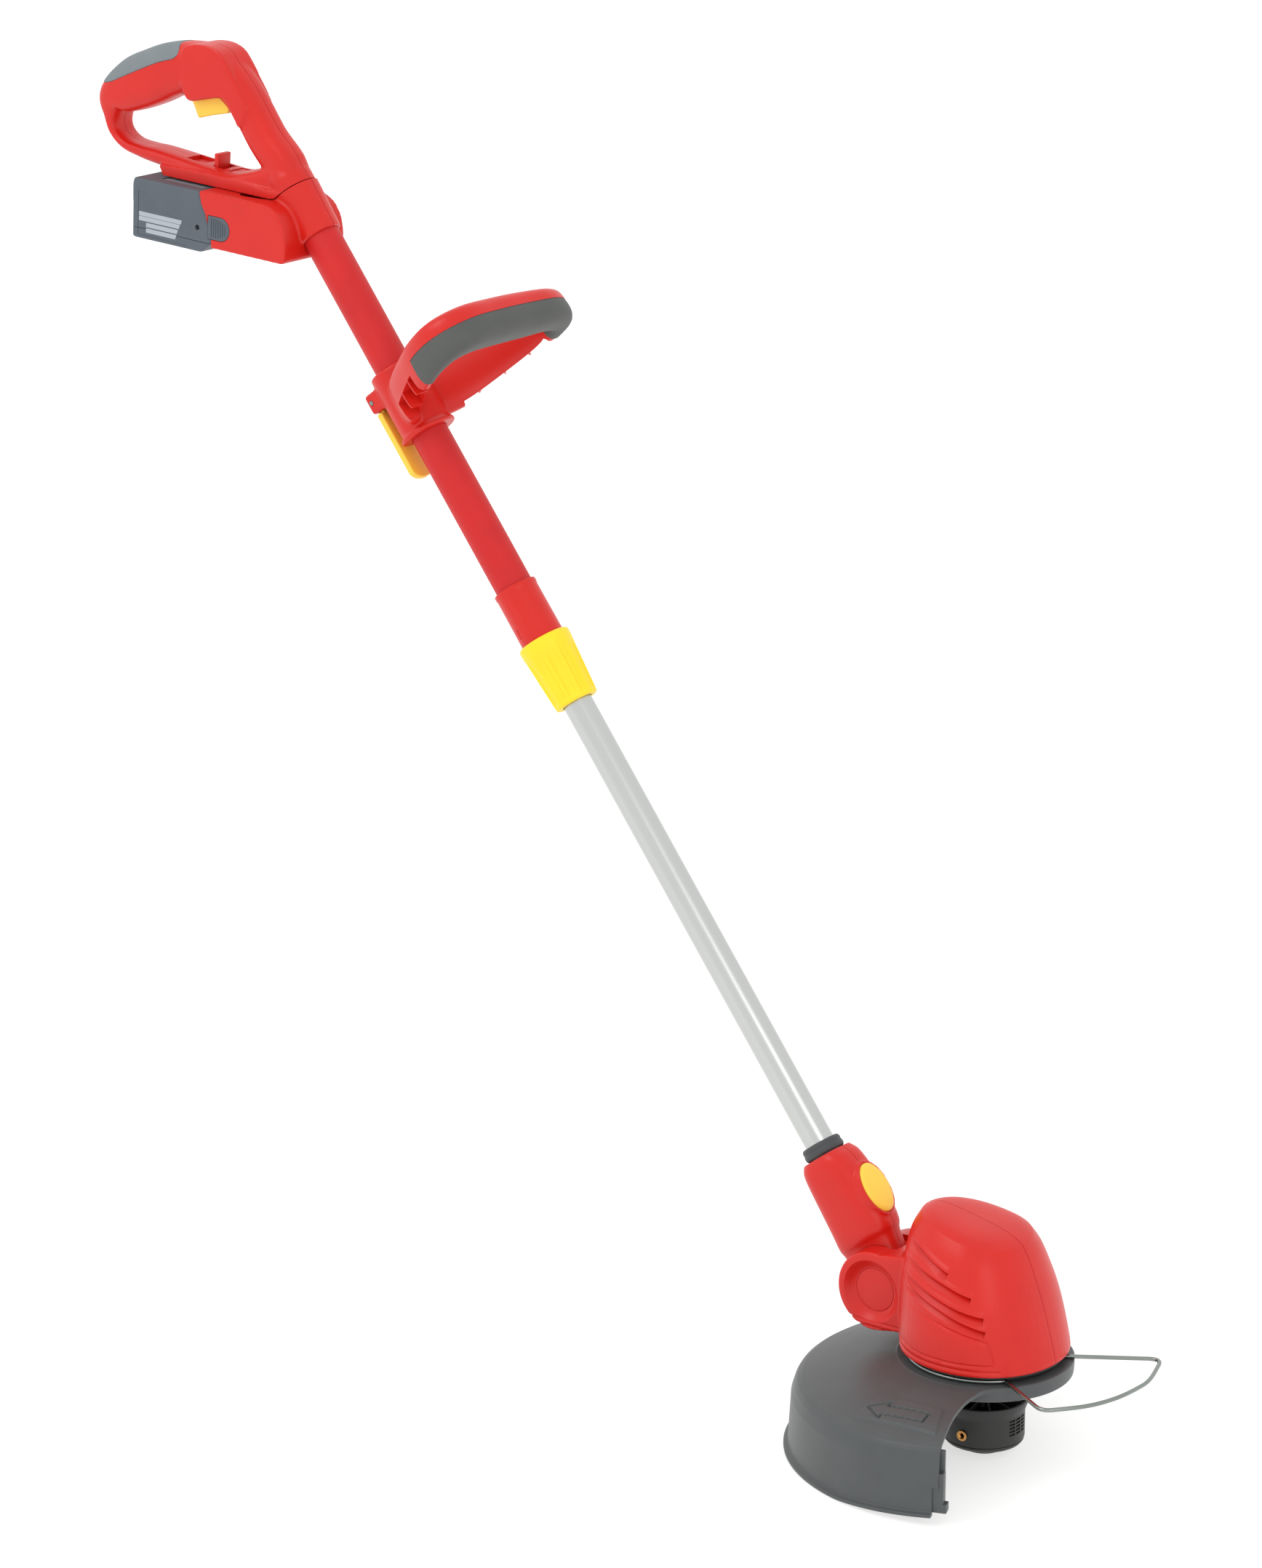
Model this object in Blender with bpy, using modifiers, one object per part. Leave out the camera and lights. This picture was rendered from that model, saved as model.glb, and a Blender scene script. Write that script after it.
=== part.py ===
# Cordless string trimmer, in metres, +Z up. The origin is on the motor axis at ground level, +X is forward.
# Pieces on the pole are laid out in the pole frame: X across it to the front, Y sideways, Z up along it.
import math

import bmesh
import bpy
from mathutils import Matrix, Vector

# Fits
GAP = 0.0003
RUNNING = 0.0004
SEAM = 0.00015
POCKET_GAP = 0.0006
OVER = 0.002
FACETS = 16
HEAD_FACETS = 28
HANDLE_FACETS = 20
SMALL_FACETS = 12
FAR = 0.3

# Pole and its joints; heights along the pole are measured from the tilt pivot
LEAN = math.radians(37.0)
PIVOT = Vector((-0.078, 0.0, 0.108))
POLE = Matrix.Translation(PIVOT) @ Matrix.Rotation(-LEAN, 4, "Y")
HANDLE_FOOT = 0.9055
FOOT_PLACE = POLE @ Vector((0.0, 0.0, HANDLE_FOOT))
LOWER_R = 0.011
LOWER_WALL = 0.0012
LOWER_START = 0.036
LOWER_END = 0.700
TELESCOPE_TRAVEL = 0.185
UPPER_R = 0.014
UPPER_WALL = 0.0012
UPPER_START = 0.530
UPPER_END = HANDLE_FOOT - 0.0025
LEAD_R = 0.003

# Neck at the foot of the pole
NECK_TOP = 0.101
NECK_WALL = 0.0025
BARREL_R = 0.0255
BARREL_HALF = 0.0138
NECK_RING_R = 0.0152
NECK_RING_LENGTH = 0.0095
BUTTON_HEIGHT = 0.063
BUTTON_HALF_LONG = 0.0190
BUTTON_HALF_WIDE = 0.0130
BOSS_RIM = 0.0022
BOSS_FRONT = 0.0262
BUTTON_PROUD = 0.0025
BUTTON_DEPTH = 0.0125
RATCHET_R = 0.0215
RATCHET_HALF = 0.0028
LATCH_REAR = 0.0034
LATCH_FRONT = 0.0094
BOLT_R = 0.003
BOLT_HEAD_R = 0.0055
BOLT_HEAD_HIGH = 0.0028
PIVOT_CAP_R = 0.0105
PIVOT_CAP_THICK = 0.0012

# Telescopic lock
COLLAR_START = 0.4735
COLLAR_LENGTH = 0.052
COLLAR_TOP_R = 0.0198
COLLAR_FOOT_R = 0.0165
COLLAR_FLUTES = 11
FLUTE_DEPTH = 0.0009
COLLET_LENGTH = 0.046
SLEEVE_R = 0.0165
SLEEVE_LENGTH = 0.043

# Front handle
FRONT_START = 0.699
FRONT_LENGTH = 0.054
FRONT_COLLAR_R = 0.0195
BOW_CUT = 0.0010
GRIP_FROM = 0.068
LEVER_PIN_HEIGHT = FRONT_START + 0.041
LEVER_PIN_BACK = 0.0240
LEVER_PIN_R = 0.00175
LEVER_TIP = LEVER_PIN_HEIGHT - 0.065
LEVER_HALF = 0.011
LEVER_THICK = 0.005
LEVER_BARREL_R = 0.0042
LEVER_EAR_IN = 0.0078
LEVER_EAR_OUT = 0.0130
LEVER_EAR_BACK = 0.0042
LEVER_EAR_LOW = 0.0082
LEVER_EAR_HIGH = 0.0070
LEVER_ROOT = 0.0095
LEVER_CLEAR = 0.0022

# Rear handle
HANDLE_FOOT_R = 0.0202
HANDLE_WALL = 0.0026
HANDLE_CLEAR = 0.0024
SHOULDER_IN = 0.0206
SHOULDER_OUT = 0.0380
SHOULDER_RISE = 0.0165
SPIGOT_START = HANDLE_FOOT - 0.0125
SPIGOT_LENGTH = 0.046
SPIGOT_R = 0.0124
SPIGOT_BORE = 0.0090
SPIGOT_FLANGE_R = 0.0160
SPIGOT_FLANGE_HEIGHT = HANDLE_FOOT + 0.0045
SPIGOT_FLANGE_THICK = 0.003
TRIGGER_HALF = 0.0075
TRIGGER_TOP = 0.0070
TRIGGER_PIN_R = 0.0015
TRIGGER_PIN_HALF = 0.0120
SWITCH_HALF = 0.0060
SWITCH_REAR = -0.0440
SWITCH_FRONT = -0.0240
SLOT_REAR = -0.0460
SLOT_FRONT = -0.0040
SLOT_LOW = HANDLE_FOOT + 0.0685
SLOT_HIGH = HANDLE_FOOT + 0.1145
SWITCH_LOW = HANDLE_FOOT + 0.1140
SWITCH_HIGH = SWITCH_LOW + 0.0070
SWITCH_PEG_R = 0.0012
SWITCH_PEG_HALF = 0.0129

# Battery housing on the pole, nearly level in this pose
BOX_FRONT = FOOT_PLACE.x + 0.020943
BOX_REAR = BOX_FRONT - 0.086
BOX_LOW = FOOT_PLACE.z - 0.049365
BOX_HIGH = BOX_LOW + 0.0414
BOX_TILT = math.radians(3.5)
BOX_HALF = 0.0335
BOX_WALL = 0.0025
BOX_COLLAR_R = 0.0208
BOX_COLLAR_START = HANDLE_FOOT - 0.0395
BOX_COLLAR_END = HANDLE_FOOT - 0.0005
BATTERY_LENGTH = 0.064
BATTERY_NOSE = 0.017
BATTERY_WALL = 0.002
BATTERY_INSET = 0.0010
CELL_R = 0.0088
CELL_LENGTH = 0.052
LATCH_HALF_HIGH = 0.0105
LATCH_LENGTH = 0.0245
LATCH_THICK = 0.005

# Motor head
HOUSING_BASE = 0.0770
HOUSING_WALL = 0.0025
EAR_R = 0.028
EAR_IN = 0.0144
EAR_OUT = 0.030
DISH_R = 0.020
DISH_DEPTH = 0.005
MOTOR_R = 0.021
MOTOR_WALL = 0.0030
MOTOR_BASE = 0.094
MOTOR_LENGTH = 0.058
MOTOR_BOSS_R = 0.008
MOTOR_BOSS_HIGH = 0.003
ARMATURE_R = 0.0150
ARMATURE_LENGTH = 0.038
SHAFT_R = 0.0025
SHAFT_FOOT = 0.030
SHAFT_TOP = 0.158
FAN_R = 0.030
FAN_BASE = MOTOR_BASE - 0.0125
FAN_HIGH = 0.008
LEG_R = 0.0030
LEG_PLACE_R = 0.0342
LEG_TURN = 0.5
BASE_R = 0.0568
BASE_LOW = 0.0600
BASE_FLOOR = 0.0635
BASE_INSIDE_R = 0.0490
BEARING_BOSS_R = 0.0115
BEARING_R = 0.0080
BEARING_LENGTH = 0.006
GROOVE_LOW = 0.0708
GROOVE_HIGH = 0.0748
GROOVE_R = 0.0528

# Cutting guard
GUARD_R = 0.1385
GUARD_LIP = 0.0035
GUARD_WALL = 0.0025
HUB_R = 0.0625
HUB_LOW = 0.0600
HUB_HIGH = 0.0695
GUARD_NEAR = math.radians(-70.5)
GUARD_FAR = math.radians(113.0)
OPENING_R = 0.260
GUARD_RISE = 0.075
GUARD_RISE_START = -0.030
GUARD_RISE_RUN = 0.050
GUARD_RISE_FADE = 0.150
CUTTER_TURN = GUARD_NEAR - math.radians(1.6)
CUTTER_HEIGHT = 0.024
CUTTER_LENGTH = 0.024
CUTTER_HALF = 0.0080
CUTTER_THICK = 0.0012
CUTTER_HOLE_R = 0.0014

# Wire plant guard
WIRE_R = 0.0015
WIRE_RING_R = 0.0551
WIRE_END = math.radians(136.0)

# Spool head
SPOOL_R = 0.0290
SPOOL_WALL = 0.0022
SPOOL_TOP = 0.0330
SPOOL_LIP_R = 0.0315
SPOOL_SEAM = 0.0090
CAP_R = 0.0170
CAP_HEIGHT = 0.0075
REEL_LOW = 0.0110
REEL_HIGH = 0.0240
REEL_R = 0.0245
REEL_HUB_R = 0.0110
EYELET_HEIGHT = 0.0185
EYELET_R = 0.0032
EYELET_BORE = 0.0014
BUMP_TRAVEL = 0.004

BOX_HINGE = Vector((BOX_FRONT, 0.0, (BOX_LOW + BOX_HIGH) / 2))
BOX = Matrix.Translation(BOX_HINGE) @ Matrix.Rotation(BOX_TILT, 4, "Y") @ Matrix.Translation(-BOX_HINGE)
BOX_ON_POLE = POLE.inverted() @ BOX
FRONT = Vector((1.0, 0.0, 0.0))
SIDE = Vector((0.0, 1.0, 0.0))
UP = Vector((0.0, 0.0, 1.0))


def clear_scene():
    """Start from an empty file."""
    for item in list(bpy.data.objects):
        bpy.data.objects.remove(item, do_unlink=True)


def collection(name):
    group = bpy.data.collections.new(name)
    bpy.context.scene.collection.children.link(group)
    return group


def material(name, colour, roughness, metallic=0.0):
    """A plain Principled material in one colour."""
    made = bpy.data.materials.new(name)
    made.use_nodes = True
    shader = made.node_tree.nodes["Principled BSDF"]
    shader.inputs["Base Color"].default_value = (*colour, 1.0)
    shader.inputs["Roughness"].default_value = roughness
    shader.inputs["Metallic"].default_value = metallic
    return made


RED = ((0.78, 0.035, 0.022), 0.42, 0.0)
TUBE_RED = ((0.58, 0.030, 0.028), 0.55, 0.0)
YELLOW = ((0.95, 0.72, 0.03), 0.45, 0.0)
SLATE = ((0.095, 0.115, 0.130), 0.55, 0.0)
RUBBER = ((0.085, 0.088, 0.085), 0.80, 0.0)
BLACK = ((0.022, 0.024, 0.022), 0.50, 0.0)
ALUMINIUM = ((0.72, 0.74, 0.73), 0.30, 1.0)
STEEL = ((0.55, 0.56, 0.55), 0.35, 1.0)
BRASS = ((0.62, 0.36, 0.12), 0.35, 1.0)
COPPER_GREEN = ((0.03, 0.16, 0.08), 0.6, 0.0)
LINE_ORANGE = ((0.80, 0.30, 0.03), 0.5, 0.0)


def link_mesh(name, shape):
    """Turn a bmesh into a linked object."""
    data = bpy.data.meshes.new(name)
    shape.to_mesh(data)
    shape.free()
    item = bpy.data.objects.new(name, data)
    PARTS.objects.link(item)
    return item


def bake(item, turn_out=True):
    """Replace an object by its evaluated mesh, welded and, if asked, facing outward."""
    graph = bpy.context.evaluated_depsgraph_get()
    graph.update()
    data = bpy.data.meshes.new_from_object(item.evaluated_get(graph))
    made = bpy.data.objects.new(item.name, data)
    PARTS.objects.link(made)
    made.matrix_world = item.matrix_world.copy()
    name = item.name
    bpy.data.objects.remove(item, do_unlink=True)
    made.name = name
    shape = bmesh.new()
    shape.from_mesh(data)
    bmesh.ops.remove_doubles(shape, verts=shape.verts, dist=0.000002)
    if turn_out:
        bmesh.ops.recalc_face_normals(shape, faces=shape.faces)
    shape.to_mesh(data)
    shape.free()
    return made


def box(name, low, high):
    """A block between two corners."""
    shape = bmesh.new()
    bmesh.ops.create_cube(shape, size=1.0)
    low = Vector(low)
    high = Vector(high)
    bmesh.ops.scale(shape, vec=high - low, verts=shape.verts)
    bmesh.ops.translate(shape, vec=(low + high) / 2, verts=shape.verts)
    return link_mesh(name, shape)


def turned(name, profile, segments=FACETS):
    """Turn a profile of radius and height about Z; off the axis it closes on itself."""
    shape = bmesh.new()
    points = [shape.verts.new((radius, 0.0, height)) for radius, height in profile]
    for first, second in zip(points, points[1:]):
        shape.edges.new((first, second))
    if profile[0][0] > 0.0:
        shape.edges.new((points[-1], points[0]))
    item = link_mesh(name, shape)
    screw = item.modifiers.new("turn", "SCREW")
    screw.steps = segments
    screw.render_steps = segments
    screw.use_merge_vertices = True
    screw.merge_threshold = 0.00001
    return bake(item)


def ring(name, outer, inner, low, high, segments=FACETS):
    """A plain tube along Z."""
    return turned(name, [(outer, high), (outer, low), (inner, low), (inner, high)], segments)


def rod(name, radius, low, high, segments=FACETS):
    """A plain cylinder along Z."""
    return turned(name, [(0.0, high), (radius, high), (radius, low), (0.0, low)], segments)


def cross_rod(name, radius, centre, low, high, segments=FACETS):
    """A cylinder along Y through a point of the XZ plane."""
    item = rod(name, radius, low, high, segments)
    turn = Matrix.Rotation(-math.pi / 2, 4, "X")
    item.data.transform(Matrix.Translation((centre[0], 0.0, centre[1])) @ turn)
    return item


def sheet(name, outline, half_thickness, half_bevel=0.0):
    """A flat plate from an outline in XY, centred on Z."""
    data = bpy.data.curves.new(name, "CURVE")
    data.dimensions = "2D"
    data.fill_mode = "BOTH"
    data.extrude = half_thickness - half_bevel
    data.bevel_depth = half_bevel
    data.bevel_resolution = 1
    data.offset = -half_bevel
    spline = data.splines.new("POLY")
    spline.points.add(len(outline) - 1)
    for point, place in zip(spline.points, outline):
        point.co = (place[0], place[1], 0.0, 1.0)
    spline.use_cyclic_u = True
    item = bpy.data.objects.new(name, data)
    PARTS.objects.link(item)
    return bake(item)


def wire(name, path, radius, resolution=2):
    """A round wire along a list of points."""
    data = bpy.data.curves.new(name, "CURVE")
    data.dimensions = "3D"
    data.bevel_depth = radius
    data.bevel_resolution = resolution
    data.use_fill_caps = True
    spline = data.splines.new("POLY")
    spline.points.add(len(path) - 1)
    for point, place in zip(spline.points, path):
        point.co = (*place, 1.0)
    item = bpy.data.objects.new(name, data)
    PARTS.objects.link(item)
    return bake(item)


def loft(name, rings, closed=False):
    """Skin a row of rings that have equal counts of points."""
    shape = bmesh.new()
    rows = [[shape.verts.new(point) for point in row] for row in rings]
    pairs = list(zip(rows, rows[1:]))
    if closed:
        pairs.append((rows[-1], rows[0]))
    for lower, upper in pairs:
        for index in range(len(lower)):
            after = (index + 1) % len(lower)
            shape.faces.new((lower[index], lower[after], upper[after], upper[index]))
    if not closed:
        shape.faces.new(reversed(rows[0]))
        shape.faces.new(rows[-1])
    bmesh.ops.recalc_face_normals(shape, faces=shape.faces)
    return link_mesh(name, shape)


def oval(half_u, half_v, count=12, power=2.4):
    """Points round an oval; a power above 2 squares it."""
    points = []
    for step in range(count):
        angle = 2 * math.pi * (step + 0.5) / count
        across = math.copysign(abs(math.cos(angle)) ** (2 / power), math.cos(angle))
        along = math.copysign(abs(math.sin(angle)) ** (2 / power), math.sin(angle))
        points.append((half_u * across, half_v * along))
    return points


def smooth(stations, steps, closed=False):
    """Resample rows of numbers on a Catmull-Rom curve."""
    count = len(stations)
    spans = count if closed else count - 1
    made = []
    for span in range(spans):
        rows = []
        for shift in (-1, 0, 1, 2):
            index = span + shift
            index = index % count if closed else min(max(index, 0), count - 1)
            rows.append(stations[index])
        for step in range(steps):
            t = step / steps
            made.append(tuple(
                0.5 * (2 * b + (c - a) * t + (2 * a - 5 * b + 4 * c - d) * t * t
                       + (3 * b - a - 3 * c + d) * t ** 3)
                for a, b, c, d in zip(*rows)))
    if not closed:
        made.append(tuple(stations[-1]))
    return made


def sweep(name, stations, across, closed=False, count=12, power=2.4):
    """Carry an oval section along rows of x, y, z, half in plane and half across."""
    rings = []
    total = len(stations)
    for index, (x, y, z, half_u, half_v) in enumerate(stations):
        before = stations[(index - 1) % total] if closed or index > 0 else stations[index]
        after = stations[(index + 1) % total] if closed or index < total - 1 else stations[index]
        run = Vector(after[:3]) - Vector(before[:3])
        normal = run.cross(across).normalized()
        centre = Vector((x, y, z))
        rings.append([centre + normal * u + across * v for u, v in oval(half_u, half_v, count, power)])
    return loft(name, rings, closed)


def pocket_rows(stations):
    """The stations of a pocket that holds a swept piece with a gap all round."""
    rows = [(x, y, z, half_u + POCKET_GAP, half_v + POCKET_GAP) for x, y, z, half_u, half_v in stations]
    for end, beside in ((0, 1), (-1, -2)):
        outward = (Vector(stations[end][:3]) - Vector(stations[beside][:3])).normalized()
        place = Vector(stations[end][:3]) + outward * POCKET_GAP * 2
        rows[end] = (*place, *rows[end][3:])
    return rows


def combine(item, tool, operation):
    """Apply a Boolean with a tool that is then dropped."""
    change = item.modifiers.new(operation.lower(), "BOOLEAN")
    change.operation = operation
    change.solver = "EXACT"
    change.object = tool
    made = bake(item, turn_out=False)
    bpy.data.objects.remove(tool, do_unlink=True)
    return made


def cut(item, tool):
    return combine(item, tool, "DIFFERENCE")


def fuse(item, tool):
    return combine(item, tool, "UNION")


def copy(item, name):
    made = item.copy()
    made.data = item.data.copy()
    made.name = name
    PARTS.objects.link(made)
    return made


def halves(shell, left, right):
    """Split a shell at the seam in the plane of symmetry."""
    other = copy(shell, right)
    shell.name = left
    shell = cut(shell, box("side_tool", (-1.5, -FAR, -0.5), (1.5, SEAM, 1.5)))
    other = cut(other, box("side_tool", (-1.5, -SEAM, -0.5), (1.5, FAR, 1.5)))
    return shell, other


def joint(name, place, frame=Matrix.Identity(4)):
    """An empty on a joint's axis that carries the pieces that move with it."""
    empty = bpy.data.objects.new(name, None)
    empty.empty_display_size = 0.02
    empty.matrix_world = frame @ Matrix.Translation(place)
    PARTS.objects.link(empty)
    return empty


def seat(carrier, frame, look, *items):
    """Give pieces their frame, their carrier and their material."""
    for item in items:
        item.matrix_world = frame @ item.matrix_world
        world = item.matrix_world.copy()
        item.parent = carrier
        item.matrix_parent_inverse = carrier.matrix_world.inverted()
        item.matrix_world = world
        item.data.materials.clear()
        item.data.materials.append(material(item.name + "_look", *look))
        item.data.shade_smooth()
        item.data.set_sharp_from_angle(angle=math.radians(35))


# Rear handle

# Rows of place, rise above the handle's foot, half in plane and half across
HANDLE_LOOP = (
    (0.0055, 0.0125, 0.0150, 0.0200),
    (0.0055, 0.0445, 0.0153, 0.0186),
    (0.0055, 0.0795, 0.0155, 0.0175),
    (-0.0040, 0.1065, 0.0190, 0.0170),
    (-0.0310, 0.1210, 0.0185, 0.0170),
    (-0.0540, 0.1285, 0.0160, 0.0165),
    (-0.0800, 0.1360, 0.0150, 0.0165),
    (-0.1040, 0.1425, 0.0122, 0.0160),
    (-0.1195, 0.1345, 0.0085, 0.0155),
    (-0.1220, 0.1185, 0.0078, 0.0150),
    (-0.1110, 0.1005, 0.0075, 0.0150),
    (-0.0840, 0.0765, 0.0075, 0.0150),
    (-0.0570, 0.0535, 0.0073, 0.0155),
    (-0.0300, 0.0315, 0.0073, 0.0160),
)
GRIP_LINE = (
    (-0.0180, 0.1283, 0.0050, 0.0090),
    (-0.0290, 0.1313, 0.0078, 0.0150),
    (-0.0516, 0.1368, 0.0080, 0.0157),
    (-0.0779, 0.1433, 0.0080, 0.0157),
    (-0.0990, 0.1465, 0.0066, 0.0140),
    (-0.1090, 0.1485, 0.0036, 0.0080),
)
TRIGGER_PIVOT = (-0.0130, HANDLE_FOOT + 0.1025)


def in_plane(rows, trim=0.0):
    """Rows of the plane of symmetry as stations, thinned by a wall."""
    return [(x, 0.0, HANDLE_FOOT + rise, half_u - trim, half_v - trim) for x, rise, half_u, half_v in rows]


def shoulder(name, drop, end, spread=0.0):
    """The turned boundary that lets the handle swivel over the housing, filled on one side."""
    foot = HANDLE_FOOT - drop
    reach = SHOULDER_OUT + spread
    rise = SHOULDER_RISE * (reach - SHOULDER_IN) / (SHOULDER_OUT - SHOULDER_IN)
    inside_out = [(0.0, foot), (SHOULDER_IN, foot), (reach, foot + rise), (reach, end), (0.0, end)]
    return turned(name, inside_out, HANDLE_FACETS)


def rear_handle():
    """The closed handle with its switch and the spigot that it turns on."""
    body = sweep("rear_handle_left", smooth(in_plane(HANDLE_LOOP), 2, True), SIDE, True, power=3.0)
    foot = turned("foot_tool", [
        (0.0, HANDLE_FOOT + 0.030), (HANDLE_FOOT_R - 0.004, HANDLE_FOOT + 0.030),
        (HANDLE_FOOT_R, HANDLE_FOOT + 0.016), (HANDLE_FOOT_R, HANDLE_FOOT - 0.001),
        (0.0, HANDLE_FOOT - 0.001)], HANDLE_FACETS)
    body = fuse(body, foot)
    hollow = sweep("hollow_tool", smooth(in_plane(HANDLE_LOOP, HANDLE_WALL), 1, True), SIDE, True, 8)
    body = cut(body, hollow)
    bore = turned("bore_tool", [
        (0.0, SPIGOT_START + SPIGOT_LENGTH + OVER),
        (SPIGOT_R + GAP, SPIGOT_START + SPIGOT_LENGTH + OVER),
        (SPIGOT_R + GAP, SPIGOT_FLANGE_HEIGHT + SPIGOT_FLANGE_THICK + GAP),
        (SPIGOT_FLANGE_R + GAP, SPIGOT_FLANGE_HEIGHT + SPIGOT_FLANGE_THICK + GAP),
        (SPIGOT_FLANGE_R + GAP, SPIGOT_FLANGE_HEIGHT - GAP),
        (SPIGOT_R + GAP, SPIGOT_FLANGE_HEIGHT - GAP),
        (SPIGOT_R + GAP, HANDLE_FOOT - OVER), (0.0, HANDLE_FOOT - OVER)], HANDLE_FACETS)
    body = cut(body, bore)
    grip_rows = smooth(in_plane(GRIP_LINE), 2)
    body = cut(body, sweep("pocket_tool", pocket_rows(grip_rows), SIDE))
    slot = box("slot_tool", (SLOT_REAR, -TRIGGER_HALF - GAP, SLOT_LOW), (SLOT_FRONT, TRIGGER_HALF + GAP, SLOT_HIGH))
    body = cut(body, slot)
    reach = TRIGGER_PIN_HALF + 0.0005
    body = cut(body, cross_rod("pin_tool", TRIGGER_PIN_R + RUNNING, TRIGGER_PIVOT, -reach, reach, SMALL_FACETS))
    body = cut(body, lock_shape("lock_tool", GAP))
    body = cut(body, shoulder("shoulder_tool", 0.0, HANDLE_FOOT - 0.060))
    over = level_box("over_tool", BOX_REAR - BATTERY_LENGTH * 1.5, BOX_FRONT, BOX_LOW, BOX_HIGH + HANDLE_CLEAR,
                     BOX_HALF, 0.001)
    over.data.transform(BOX_ON_POLE)
    body = cut(body, over)
    left, right = halves(body, "rear_handle_left", "rear_handle_right")
    seat(ROOT, POLE, RED, left, right)

    grip = sweep("rear_soft_grip", grip_rows, SIDE)
    seat(ROOT, POLE, RUBBER, grip)

    spigot = turned("swivel_spigot", [
        (SPIGOT_R, SPIGOT_START), (SPIGOT_BORE, SPIGOT_START),
        (SPIGOT_BORE, SPIGOT_START + SPIGOT_LENGTH), (SPIGOT_R, SPIGOT_START + SPIGOT_LENGTH),
        (SPIGOT_R, SPIGOT_FLANGE_HEIGHT + SPIGOT_FLANGE_THICK), (SPIGOT_FLANGE_R, SPIGOT_FLANGE_HEIGHT + SPIGOT_FLANGE_THICK),
        (SPIGOT_FLANGE_R, SPIGOT_FLANGE_HEIGHT), (SPIGOT_R, SPIGOT_FLANGE_HEIGHT)], HANDLE_FACETS)
    seat(ROOT, POLE, BLACK, spigot)

    switch = box("power_switch", (SWITCH_REAR, -SWITCH_HALF, SWITCH_LOW), (SWITCH_FRONT, SWITCH_HALF, SWITCH_HIGH))
    middle = ((SWITCH_REAR + SWITCH_FRONT) / 2, (SWITCH_LOW + SWITCH_HIGH) / 2)
    pegs = cross_rod("peg_tool", SWITCH_PEG_R, middle, -SWITCH_PEG_HALF, SWITCH_PEG_HALF, SMALL_FACETS)
    switch = fuse(switch, pegs)
    seat(ROOT, POLE, BLACK, switch)
    pin = cross_rod("trigger_pin", TRIGGER_PIN_R, TRIGGER_PIVOT, -TRIGGER_PIN_HALF, TRIGGER_PIN_HALF, SMALL_FACETS)
    seat(ROOT, POLE, STEEL, pin)


def trigger():
    """The switch trigger, hung from a pin at its front end."""
    x, z = TRIGGER_PIVOT
    outline = [
        (x + 0.0040, z + 0.0040), (x - 0.0290, z + TRIGGER_TOP), (x - 0.0300, z - 0.0050),
        (x - 0.0290, z - 0.0140), (x - 0.0180, z - 0.0190), (x - 0.0020, z - 0.0260),
        (x + 0.0005, z - 0.0240), (x + 0.0040, z - 0.0060)]
    lever = sheet("trigger", outline, TRIGGER_HALF)
    lever.data.transform(Matrix.Rotation(math.pi / 2, 4, "X"))
    lever = cut(lever, cross_rod("pin_tool", TRIGGER_PIN_R + RUNNING / 4, TRIGGER_PIVOT, -FAR, FAR, SMALL_FACETS))
    seat(joint("trigger_axis", (x, 0.0, z), POLE), POLE, YELLOW, lever)


LOCK_PLACE = Vector((-0.0500, 0.0, HANDLE_FOOT + 0.0445))


def lock_frame():
    """The lower bar's own frame: X along the bar toward the pole, Z into the loop."""
    along = Vector((0.027, 0.0, -0.024)).normalized()
    inward = Vector((0.024, 0.0, 0.027)).normalized()
    turn = Matrix((along, SIDE, inward)).transposed()
    return Matrix.Translation(LOCK_PLACE) @ turn.to_4x4()


def lock_shape(name, grow):
    """The tab that frees the swivel, with its foot inside the bar."""
    tab = box(name, (-0.0030 - grow, -0.0090 - grow, -0.0010), (0.0030 + grow, 0.0090 + grow, 0.0180))
    foot = box("foot_tool", (-0.0080 - grow, -0.0100 - grow, -0.0020 - grow),
               (0.0080 + grow, 0.0100 + grow, 0.0015 + grow))
    tab = fuse(tab, foot)
    if grow > 0.0:
        run = box("run_tool", (-0.0030 - grow, -0.0090 - grow, 0.0), (0.0080 + grow, 0.0090 + grow, 0.0120))
        foot_run = box("foot_run_tool", (-0.0080 - grow, -0.0100 - grow, -0.0020 - grow),
                       (0.0130 + grow, 0.0100 + grow, 0.0015 + grow))
        tab = fuse(fuse(tab, run), foot_run)
    tab.data.transform(lock_frame())
    return tab


def swivel_lock():
    lock = lock_shape("swivel_lock", 0.0)
    seat(joint("lock_slide", LOCK_PLACE, POLE), POLE, RED, lock)


# Battery housing

def level_box(name, rear, front, low, high, half, edge, front_edge=0.001):
    """A block with rounded long edges along X."""
    rings = []
    for x, trim in ((rear, edge), (rear + edge, 0.0), (front - front_edge, 0.0), (front, front_edge)):
        rings.append([Vector((x, v, (low + high) / 2 + u)) for u, v in oval(
            (high - low) / 2 - trim, half - trim, 16, 7.0)])
    return loft(name, rings)


BOX_ROWS = (
    (BOX_REAR, BOX_LOW + 0.0010, BOX_HIGH - 0.0010, BOX_HALF - 0.0010),
    (BOX_REAR + 0.0015, BOX_LOW, BOX_HIGH, BOX_HALF),
    (BOX_FRONT - 0.0160, BOX_LOW, BOX_HIGH, BOX_HALF),
    (BOX_FRONT - 0.0050, BOX_LOW + 0.0017, BOX_HIGH - 0.0052, BOX_HALF - 0.0020),
    (BOX_FRONT + 0.0040, BOX_LOW + 0.0062, BOX_HIGH - 0.0122, BOX_HALF - 0.0085),
    (BOX_FRONT + 0.0120, BOX_LOW + 0.0117, BOX_HIGH - 0.0212, BOX_HALF - 0.0170),
)


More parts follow.
